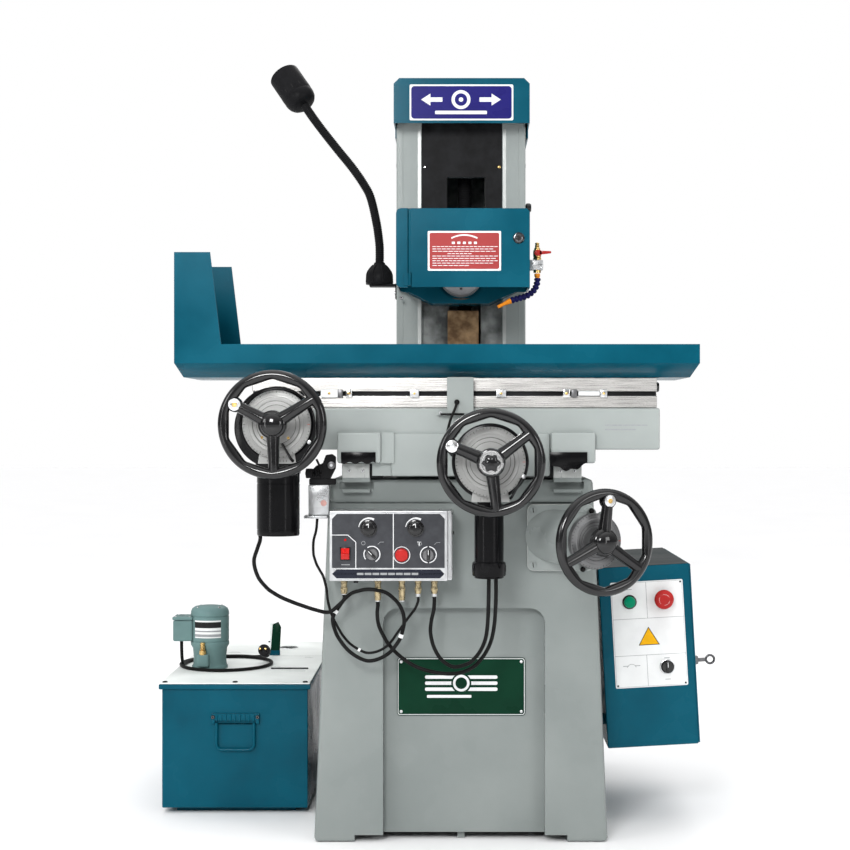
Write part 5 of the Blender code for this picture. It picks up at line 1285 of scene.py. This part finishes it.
def cabinet():
    # The cabinet's top faces get a darker teal: painted shade.
    refine("cabinet_shell", TEAL, 0.0010, CABINET_TOP_SHADE, lambda point, normal: normal.z > 0.9 and point.z > 0.5)
    refine("cabinet_door", TEAL, 0.0008)
    place = cabinet_place()
    panel = Shape(place)
    x, z = (0.0230, 0.1720), (-0.2500, -0.0320)
    panel.prism(WHITE, rounded(x, z, 0.0030), (-0.0002, -0.0009), bevel=0.0002)
    ink = -0.0009
    for level in (-0.1085, -0.1840):
        panel.stroke(GREY_INK, [(x[0] + 0.002, level), (x[1] - 0.002, level)], 0.0009, ink)
    triangle = ((0.0759, -0.1631), (0.1171, -0.1631), (0.0965, -0.1275))
    panel.prism(YELLOW, triangle, (ink, ink - PRINT))
    panel.stroke(BLACK_INK, [*triangle, triangle[0]], 0.0014, ink - PRINT)
    inset = (*rounded(grown(x, -0.0022), grown(z, -0.0022), 0.002),)
    panel.stroke(GREY_INK, [*inset, inset[0]], 0.0006, ink)
    panel.stroke(GREY_INK, [(0.0960, z[1] - 0.003), (0.0960, -0.1078)], 0.0009, ink)
    panel.stroke(GREY_INK, [(0.0900, -0.1847), (0.0900, z[0] + 0.003)], 0.0009, ink)
    for cx, cz in ((0.0608, -0.0480), (0.0460, -0.2050), (0.0700, -0.2050), (0.1313, -0.1920),
        (0.1313, -0.2360)):
        panel.stroke(GREY_INK, [(cx - 0.005, cz), (cx + 0.005, cz)], 0.0013, ink)
    panel.stroke(GREY_INK, arc((0.0580, -0.2110), 0.0095, 20, 160), 0.0009, ink)
    for cx, cz in ((x[0] + 0.005, z[0] + 0.005), (x[1] - 0.005, z[0] + 0.005), (x[0] + 0.005, z[1] - 0.005),
                   (x[1] - 0.005, z[1] - 0.005)):
        panel.sphere(BLACK_INK, (cx, ink, cz), 0.0020, (1, 0.5, 1))
    for (cx, cz), radius, look in ((GREEN_AT, 0.0147, ZINC), (BUTTON_AT, 0.0165, YELLOW),
                                   (SELECTOR_AT, 0.0158, ZINC)):
        look = BLACK if cx < 0.1 else look
        panel.turned(look,
            ((radius - 0.0035, 0.0022), (radius - 0.0008, 0.0020), (radius, 0.0014), (radius, 0.0009),
                            (radius - 0.0035, 0.0009)), (cx, 0, cz), (0, -1, 0), sides=56)
    panel.build("cabinet_panel", "frame")

    green = Shape(place)
    green.turned(GREEN,
        ((0, 0.0104), (0.0085, 0.0102), (0.0108, 0.0092), (0.0117, 0.0072), (0.0119, 0.0011), (0, 0.0011)),
                 (GREEN_AT[0], 0, GREEN_AT[1]), (0, -1, 0), sides=56)
    green.build("green_button_moulded", "green_button", ("green_button",))
    mushroom = Shape(place)
    mushroom.turned(RED, ((0, 0.0298), (0.0080, 0.0294), (0.0140, 0.0278), (0.0182, 0.0245), (0.0199, 0.0205),
                          (0.0192, 0.0178), (0.0175, 0.0165), (0.0088, 0.0155), (0.0088, 0.0011),
                          (0, 0.0011)),
                    (BUTTON_AT[0], 0, BUTTON_AT[1]), (0, -1, 0), sides=72)
    for number in range(3):
        start = 30 + 120 * number
        mushroom.stroke(INK, arc(BUTTON_AT, 0.0105, start, start + 70, 10), 0.0011, -0.0286)
    mushroom.build("mushroom_button_moulded", "mushroom_button", ("mushroom_button",))
    selector = Shape(place)
    selector.turned(BLACK, ((0, 0.0079), (0.0112, 0.0075), (0.0134, 0.0055), (0.0137, 0.0011), (0, 0.0011)),
                    (SELECTOR_AT[0], 0, SELECTOR_AT[1]), (0, -1, 0), sides=56)
    selector.block(BLACK, (0.1280, 0.1346), (-0.0168, -0.0060), (-0.2218, -0.1988), bevel=0.0018)
    selector.block(INK, (0.1308, 0.1318), (-0.0170, -0.0167), (-0.2100, -0.2000), bevel=0)
    selector.build("cabinet_selector_moulded", "cabinet_selector", ("cabinet_selector",))

    key = Shape(place)
    lock = (0.1873, 0.035, -0.205)
    key.turned(DARK_STEEL,
        ((0, 0.0118), (0.0080, 0.0118), (0.0092, 0.0100), (0.0094, 0.0034), (0.0078, 0.0033),
            (0.0078, -0.012),
                        (0, -0.012)), lock, (1, 0, 0), sides=48)
    key.block(DARK_STEEL, (lock[0] + 0.0110, lock[0] + 0.0295), (0.0335, 0.0365), (-0.2090, -0.2010),
        bevel=0.0006)
    bow = [(lock[0] + 0.0370 + 0.0085 * math.cos(a), 0.0350, -0.205 + 0.0085 * math.sin(a))
           for a in (2 * math.pi * step / 36 for step in range(37))]
    key.tube(BLACK_CHROME, bow, 0.0024, sides=12)
    key.build("cabinet_key_cut", "cabinet_key", ("cabinet_key",))


# ---------------------------------------------------------------- coolant tank

def tank():
    refine("tank_shell", TEAL, 0.0010)
    refine("tank_lid", LIGHTENED_LID, 0.0006)
    shell_low, shell_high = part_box("tank_shell")
    lid_low, lid_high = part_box("tank_lid")
    lid_top = shell_high.z + LID_THICKNESS
    trim = Shape()
    # A matt black slab on the floor under the tank: painted shadow.
    trim.block(MATT_BLACK, (shell_low.x + 0.036, shell_high.x - 0.036),
        (shell_low.y + 0.036, shell_high.y - 0.036),
               (0.0002, 0.0118), bevel=0.001)
    for x in (lid_low.x + 0.010, (lid_low.x + lid_high.x) / 2, lid_high.x - 0.010):
        for y in (lid_low.y + 0.010, lid_high.y - 0.010):
            screw(trim, MATT_BLACK, (x, y, lid_top), 0.0056, (0, 0, 1), height=0.0026)
    trim.block(MATT_BLACK, (lid_low.x + 0.004, lid_high.x - 0.004), (0.290, 0.2912),
        (lid_top - 0.0004, lid_top + 0.00012), bevel=0)
    trim.turned(ZINC, ((0.0210, 0.0012), (0.0228, 0.0010), (0.0232, 0.0), (0.0208, -0.002), (0.0210, 0.0012)),
                (-0.423, 0.447, lid_top), sides=56)
    trim.block(TEAL, (-0.4535, -0.4290), (0.2980, 0.3030), (lid_top + 0.0002, lid_top + 0.012), bevel=0.001)
    trim.prism(PLATE_GREEN, ((-0.4520, 0.2790), (-0.4300, 0.2790), (-0.4265, 0.3430), (-0.4330, 0.3560),
                             (-0.4465, 0.3500)), (0.2990, 0.3020), bevel=0.0006)
    trim.block(MATT_BLACK, (-0.4256, -0.3420), (0.068, 0.072), (lid_top + 0.0001, lid_top + 0.0030),
        bevel=0.0008)
    for x in (-0.5250, -0.4306):
        screw(trim, BLACK_CHROME, (x, -0.1470, 0.2045), 0.0042, height=0.0030, slot=False)
    for number in range(9):
        x = -0.5170 + 0.0098 * number
        trim.rod(TEAL, (x, -0.1472, 0.1965), (x, -0.1472, 0.2085), 0.0019, sides=12)
    trim.build("tank_trim", "frame")

    bail = Shape()
    x0, x1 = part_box("tank_handle")[0].x + 0.003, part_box("tank_handle")[1].x - 0.003
    top, bottom, y = 0.192, 0.135, -0.1455
    corner = 0.012
    points = [(x0, y, top), (x0, y, top - 0.015), (x0, y, bottom + corner)]
    points += [(x0 + corner - corner * math.cos(a), y, bottom + corner - corner * math.sin(a))
               for a in (math.pi / 2 * step / 8 for step in range(1, 9))]
    points += [(x1 - corner + corner * math.sin(a), y, bottom + corner - corner * math.cos(a))
               for a in (math.pi / 2 * step / 8 for step in range(9))]
    points += [(x1, y, top - 0.015), (x1, y, top)]
    bail.tube(TEAL, points, 0.0031, sides=16)
    bail.build("tank_bail", "tank_handle", ("tank_handle",))
    pump(lid_top)


def pump(lid_top):
    x, y = PUMP_AT
    foot = lid_top + GAP
    body = Shape(Matrix.Translation((x, y, 0)))
    profile = [(0, 0.4172), (0.020, 0.4170), (0.033, 0.4150), (0.0395, 0.4105), (0.0425, 0.4040),
        (0.0430, 0.3960),
               (0.0415, 0.3950), (0.0415, 0.3935), (0.0428, 0.3925), (0.0428, 0.3400), (0.0415, 0.3390),
               (0.0415, 0.3375),
               (0.0430, 0.3365), (0.0430, 0.3300), (0.0385, 0.3225), (0.0360, 0.3000), (0.0375, 0.2850),
               (0.0400, 0.2820),
               (0.0400, foot), (0.0280, foot), (0.0280, 0.14), (0.034, 0.135), (0.034, 0.09), (0, 0.09)]
    body.turned(PUMP, profile, sides=80)
    body.block(PUMP, (-0.079, -0.035), (-0.030, 0.030), (0.3390, 0.3860), bevel=0.004, segments=4)
    body.block(PUMP, (-0.0800, -0.0350), (-0.0315, 0.0315), (0.3865, 0.3935), bevel=0.002)
    body.block(PUMP, (-0.022, 0.004), (-0.052, -0.010), (0.2840, 0.3120), bevel=0.004, segments=4)
    body.turned(BRASS,
        ((0, 0.3380), (0.0045, 0.3380), (0.0062, 0.3360), (0.0048, 0.3335), (0.0064, 0.3305),
            (0.0048, 0.3280),
                        (0.0064, 0.3250), (0.0050, 0.3220), (0.0075, 0.3210), (0.0075, 0.3110), (0, 0.3110)),
                (-0.010, -0.044, 0), sides=40)
    for side_x in (-0.0740, -0.0420):
        for side_y in (-0.024, 0.024):
            screw(body, ZINC, (side_x, side_y, 0.3935), 0.0028, (0, 0, 1), height=0.001)
    for number in range(4):
        angle = math.pi / 4 + math.pi / 2 * number
        screw(body, ZINC, (0.0335 * math.cos(angle), 0.0335 * math.sin(angle), 0.4140), 0.0026, (0, 0, 1),
            height=0.002)
    label = [(0.0432 * math.sin(a),
        -0.0432 * math.cos(a)) for a in (math.radians(-42 + 7 * step) for step in range(13))]
    for (x0, y0), (x1, y1) in zip(label, label[1:]):
        for z0, z1, look, off in ((0.3475, 0.3865, WHITE, 0.0), (0.3500, 0.3560, GREY_INK, 0.0003),
            (0.3610, 0.3640, GREY_INK, 0.0003),
                                  (0.3700, 0.3830, BLACK_INK, 0.0003)):
            out = 1 + off / 0.0432
            bm = bmesh.new()
            corners = [bm.verts.new(point) for point in
                       ((x0 * out, y0 * out, z0), (x1 * out, y1 * out, z0), (x1 * out, y1 * out, z1),
                           (x0 * out, y0 * out, z1))]
            bm.faces.new(corners)
            body.take(bm, look)
    body.turned(GLAND,
        ((0, 0.0), (0.0068, 0.0), (0.0074, -0.0020), (0.0074, -0.0080), (0.0055, -0.0100), (0, -0.0100)),
                (-0.064, 0, 0.3492), sides=32)
    body.build("pump_cast", "frame", ("pump_motor",))


# ---------------------------------------------------------------- lamp and limit switch

def lamp():
    x, y = LAMP_AT
    stops = (
        (x, y, 1.175), (-0.1825, 0.080, 1.205), (-0.1835, 0.081, 1.231), (-0.1900, 0.084, 1.277),
        (-0.2034, 0.090, 1.3339), (-0.2194, 0.094, 1.3655), (-0.2450, 0.100, 1.4028),
        (-0.2765, 0.107, 1.4421),
        (-0.3077, 0.116, 1.4820), (-0.3332, 0.124, 1.5163), (-0.3560, 0.139, 1.5500),
    )
    coarse = smooth_route(stops, 0.024)
    aim = (Vector(coarse[-1]) - Vector(coarse[-2])).normalized()
    tip = Vector(coarse[-1])
    route = smooth_route(stops, 0.0011)
    arm = Shape()
    arm.tube(LAMP_BLACK, route,
        [0.0094 + 0.0006 * math.cos(2 * math.pi * index / 4) for index in range(len(route))], sides=28)
    bell = ((0, 1.1870), (0.0118, 1.1868), (0.0125, 1.1855), (0.0128, 1.1835), (0.0150, 1.1810),
        (0.0205, 1.1752),
            (0.0262, 1.1680), (0.0290, 1.1620), (0.0302, 1.1550), (0.0305, 1.1390), (0.0298, 1.1378),
            (0, 1.1378))
    arm.turned(LAMP_BLACK, bell, (x, y, 0), sides=64)
    for number in range(8):
        angle = math.pi / 4 * number + 0.3
        out = Vector((math.cos(angle), math.sin(angle), 0))
        base = Vector((x, y, 0))
        arm.tube(LAMP_BLACK, [base + out * r + Vector((0, 0, z)) for r, z in
                                ((0.0150, 1.1812), (0.0215, 1.1745), (0.0270, 1.1670), (0.0295, 1.1600),
                                    (0.0304, 1.1420))],
                 0.0016, sides=8)
    arm.block(LAMP_BLACK, (-0.2050, -0.1403), (y - 0.020, y + 0.020), (1.1325, 1.1380), bevel=0.0012)
    arm.block(LAMP_BLACK, (-0.1470, -0.1403), (y - 0.020, y + 0.020), (1.1050, 1.1390), bevel=0.0010)
    for side in (-0.012, 0.012):
        screw(arm, ZINC, (-0.1470, y + side, 1.1180), 0.0034, (-1, 0, 0), height=0.002)
    arm.build("lamp_gooseneck", "frame", ("lamp_arm",))

    head_place = Matrix.LocRotScale(tip + 2 * GAP * aim, aim.to_track_quat("Z", "Y"), None)
    shade = Shape(head_place)
    shade.turned(LAMP_BLACK, (
        (0, 0.0090), (0.0264, 0.0170), (0.0315, 0.0260), (0.0320, 0.0940), (0.0328, 0.0965), (0.0345, 0.0970),
        (0.0355, 0.0957), (0.0357, 0.0930), (0.0357, 0.0320), (0.0347, 0.0300), (0.0347, 0.0285),
        (0.0357, 0.0265),
        (0.0355, 0.0215), (0.0337, 0.0140), (0.0295, 0.0070), (0.0249, 0.0030), (0.0187, 0.0005),
        (0.0104, 0.0),
        (0, 0.0)), sides=72)
    shade.turned(BULB, ((0, 0.0760), (0.0090, 0.0740), (0.0145, 0.0670), (0.0160, 0.0580), (0.0145, 0.0470),
                        (0.0095, 0.0360), (0.0085, 0.0250), (0, 0.0250)), sides=40)
    for number in range(12):
        angle = 2 * math.pi * number / 12
        out = Vector((math.cos(angle), math.sin(angle), 0))
        shade.block(BLACK_INK, (-0.0012, 0.0012), (-0.0004, 0.0004), (0.0, 0.0090), bevel=0,
                    turn=Matrix.Translation(0.0355 * out + Vector((0, 0,
                        0.036))) @ Matrix.Rotation(angle + math.pi / 2, 4, "Z"))
    shade.build("lamp_shade", "frame", ("lamp_head",))


def limit_switch():
    body = Shape()
    body.block(SILVER, (-0.2977, -0.2570), (-0.440, -0.4126), (0.6465, 0.7060), bevel=0.0022)
    body.block(SILVER, (-0.3055, -0.2600), (-0.448, -0.408), (0.6405, 0.6462), bevel=0.0012)
    body.block(CASTING, (-0.2620, -0.2560), (-0.430, -0.4120), (0.676, 0.700), bevel=0.0008)
    body.block(SILVER, (-0.2965, -0.2590), (-0.4412, -0.4395), (0.6620, 0.7040), bevel=0.0005)
    body.turned(PINK, ((0, 0.0035), (0.0040, 0.0028), (0.0060, 0.0010), (0.0060, 0), (0, 0)),
        (-0.2675, -0.4410, 0.6705),
                (0, -1, 0), sides=40)
    for x in (-0.2925, -0.2635):
        screw(body, ZINC, (x, -0.4412, 0.6990), 0.0020, height=0.0008)
    body.block(MATT_BLACK, (-0.2965, -0.2450), (-0.436, -0.418), (0.7060, 0.7180), bevel=0.0020)
    body.prism(MATT_BLACK,
        ((-0.2950, 0.7160), (-0.2560, 0.7160), (-0.2450, 0.7380), (-0.2445, 0.7600), (-0.2520, 0.7660),
                            (-0.2640, 0.7640), (-0.2700, 0.7480), (-0.2830, 0.7430), (-0.2920, 0.7330)),
               (-0.434, -0.420), bevel=0.0015)
    body.rod(MATT_BLACK, (-0.3035, -0.427, 0.728), (-0.2890, -0.427, 0.728), 0.0095, sides=28, bevel=0.0015)
    body.rod(DARK_STEEL, (-0.3045, -0.427, 0.728), (-0.262, -0.427, 0.728), 0.0030, sides=18)
    for step in range(6):
        x = -0.2870 + 0.0030 * step
        body.turned(DARK_STEEL, ((0.0048, 0.0007), (0.0062, 0.0), (0.0048, -0.0007)), (x, -0.4345, 0.728),
            (1, 0, 0), sides=20)
    body.tube(MATT_BLACK, [(-0.2700, -0.437, 0.718), (-0.2745, -0.437, 0.740), (-0.2820, -0.437, 0.7560)],
        0.0022, sides=12)
    body.rod(DARK_STEEL, (-0.2530, -0.437, 0.744), (-0.2530, -0.417, 0.744), 0.0075, sides=28, bevel=0.001)
    body.rod(ZINC, (-0.2530, -0.4376, 0.744), (-0.2530, -0.4365, 0.744), 0.0030, sides=6)
    body.build("limit_switch_parts", "frame", ("limit_switch",))


# ---------------------------------------------------------------- cables

def cable(name, stops, radius, body, blend=None, ties=()):
    """A free cable along the route that its CAD tube holds, with its ties."""
    route = smooth_route(stops, 6 * radius)
    fine = smooth_route(route, radius)
    shape = Shape()
    shape.tube(RUBBER, fine, radius, sides=20)
    for x, z in ties:
        at = min(range(2, len(fine) - 2), key=lambda i: math.hypot(fine[i][0] - x, fine[i][2] - z))
        shape.tube(WHITE, fine[at - 1:at + 2], radius * 1.3, sides=20)
    obj = shape.build(name + "_sheath", None if blend else body, (name,))
    if blend:
        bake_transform(obj)
    return fine


def cables():
    under = [(x, GLAND_Y, low - GAP) for x, low in GLANDS]
    stubs = [(x, GLAND_Y, low - 0.009) for x, low in GLANDS]
    left_motor = (
        (-0.381, -0.530, 0.6127), (-0.381, -0.530, 0.604), (-0.387, -0.530, 0.586),
        (-0.393, -0.528, 0.563), (-0.386, -0.522, 0.534),
        (-0.370, -0.514, 0.512), (-0.344, -0.502, 0.493), (-0.309, -0.488, 0.477), (-0.280, -0.476, 0.466),
        (-0.255, -0.468, 0.461), (-0.236, -0.466, 0.475), (-0.215, -0.466, 0.495), (-0.179, -0.466, 0.505),
        (-0.141, -0.465, 0.496), (-0.119, -0.463, 0.474), (-0.110, -0.460, 0.445), (-0.116, -0.457, 0.414),
        (-0.140, -0.455, 0.380), (-0.180, -0.455, 0.365), (-0.219, -0.456, 0.386), (-0.243, -0.457, 0.421),
        (-0.249, -0.455, 0.447), (-0.238, -0.449, 0.468), stubs[0], under[0],
    )
    limit_switch_run = (
        (-0.281, -0.428, 0.6402), (-0.283, -0.430, 0.617), (-0.288, -0.432, 0.596), (-0.288, -0.435, 0.573),
        (-0.281, -0.438, 0.550), (-0.268, -0.442, 0.527), (-0.262, -0.444, 0.505), (-0.259, -0.444, 0.480),
        (-0.252, -0.444, 0.455), (-0.239, -0.444, 0.428), (-0.218, -0.444, 0.399), (-0.181, -0.444, 0.379),
        (-0.146, -0.444, 0.391), (-0.124, -0.444, 0.418), (-0.103, -0.444, 0.447),
        (-0.089, -0.445, 0.466), stubs[3], under[3],
    )
    centre_left = (
        under[1], stubs[1], (-0.163, -0.444, 0.455), (-0.160, -0.438, 0.431), (-0.148, -0.433, 0.405),
        (-0.127, -0.431, 0.378),
        (-0.090, -0.434, 0.352), (-0.045, -0.442, 0.340), (-0.004, -0.452, 0.341), (0.027, -0.470, 0.358),
        (0.050, -0.495, 0.391), (0.061, -0.520, 0.427), (0.065, -0.540, 0.469), (0.066, -0.549, 0.505),
        (0.066, -0.550, 0.5337),
    )
    centre_right = (
        under[4], stubs[4], (-0.053, -0.446, 0.463), (-0.058, -0.448, 0.440), (-0.059, -0.450, 0.417),
        (-0.052, -0.453, 0.390),
        (-0.037, -0.458, 0.367), (-0.014, -0.466, 0.355), (0.013, -0.482, 0.363), (0.034, -0.502, 0.386),
        (0.047, -0.522, 0.418), (0.051, -0.540, 0.458), (0.052, -0.550, 0.495), (0.0525, -0.552, 0.5337),
    )
    sensor = (
        (-0.008, -0.4553, 0.867), (-0.008, -0.4610, 0.867), (-0.009, -0.467, 0.862),
        (-0.012, -0.470, 0.853), (-0.019, -0.473, 0.836),
        (-0.025, -0.473, 0.815), (-0.028, -0.475, 0.793), (-0.024, -0.480, 0.773), (-0.011, -0.487, 0.760),
        (0.004, -0.492, 0.7545), (0.0107, -0.493, 0.7535),
    )
    across_left = ("frame", "saddle", (-0.27, -0.48, 0.47), (-0.38, -0.53, 0.58))
    across_centre = ("frame", "saddle", (-0.02, -0.46, 0.35), (0.055, -0.55, 0.52))
    cable("left_motor_cable", left_motor, CABLE_RADIUS, None, blend=across_left,
        ties=((-0.246, 0.461), (-0.116, 0.414)))
    cable("limit_switch_cable", limit_switch_run, THIN_CABLE_RADIUS, "frame", ties=((-0.197, 0.386),))
    cable("centre_cable_left", centre_left, CABLE_RADIUS, None, blend=across_centre)
    cable("centre_cable_right", centre_right, CABLE_RADIUS, None, blend=across_centre)
    cable("sensor_cable", sensor, THIN_CABLE_RADIUS, "saddle")
    pump_lead()


def pump_lead():
    """The pump's lead in its loose loop on the tank lid, with its plug."""
    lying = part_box("tank_shell")[1].z + LID_THICKNESS + CABLE_RADIUS + GAP
    box_x, box_y = PUMP_AT[0] - 0.064, PUMP_AT[1]
    stops = [(box_x, box_y, 0.339 - GAP), (box_x, box_y + 0.001, 0.318), (box_x, box_y + 0.007, 0.297),
             (box_x, box_y + 0.024, lying + 0.002)]
    for step in range(33):
        angle = math.radians(165 - 14.4 * step)
        spread = 1 + 0.085 * min(1, max(0, (step - 16) / 8))
        stops.append((-0.530 + 0.098 * spread * math.cos(angle), 0.135 + 0.115 * spread * math.sin(angle),
            lying))
    stops += [(-0.449, 0.213, lying + 0.007), (-0.4485, 0.199, lying + 0.0125),
        (-0.449, 0.190, lying + 0.0155)]
    route = smooth_route(stops, 6 * CABLE_RADIUS)
    fine = smooth_route(route, CABLE_RADIUS)
    aim = (Vector(route[-1]) - Vector(route[-2])).normalized()
    plug = Shape(Matrix.LocRotScale(Vector(route[-1]) + GAP * aim, aim.to_track_quat("Z", "Y"), None))
    plug.turned(MATT_BLACK,
        ((0, 0.0398), (0.0118, 0.0398), (0.0132, 0.0385), (0.0135, 0.0360), (0.0135, 0.0215),
            (0.0125, 0.0190),
                             (0.0085, 0.0090), (0.0070, 0.0075), (0.0062, 0.0060), (0.0066, 0.0045),
                             (0.0058, 0.0030),
                             (0.0060, 0.0012), (0.0050, 0.0), (0, 0.0)), sides=48)
    for shift in (-0.006, 0.006):
        plug.rod(BRASS, (shift, 0, 0.039), (shift, 0, 0.0555), 0.0022, sides=20, bevel=0.0006)
    plug_piece = plug.build("pump_plug_moulded", "frame", ("pump_plug",))
    sheath = Shape()
    sheath.tube(RUBBER, fine, CABLE_RADIUS, sides=20)
    obj = sheath.build("pump_cable_sheath", "frame", ("pump_cable",))


stage()
cables()
base()
column()
head()
table()
wheels()
control_box()
cabinet()
tank()
lamp()
limit_switch()
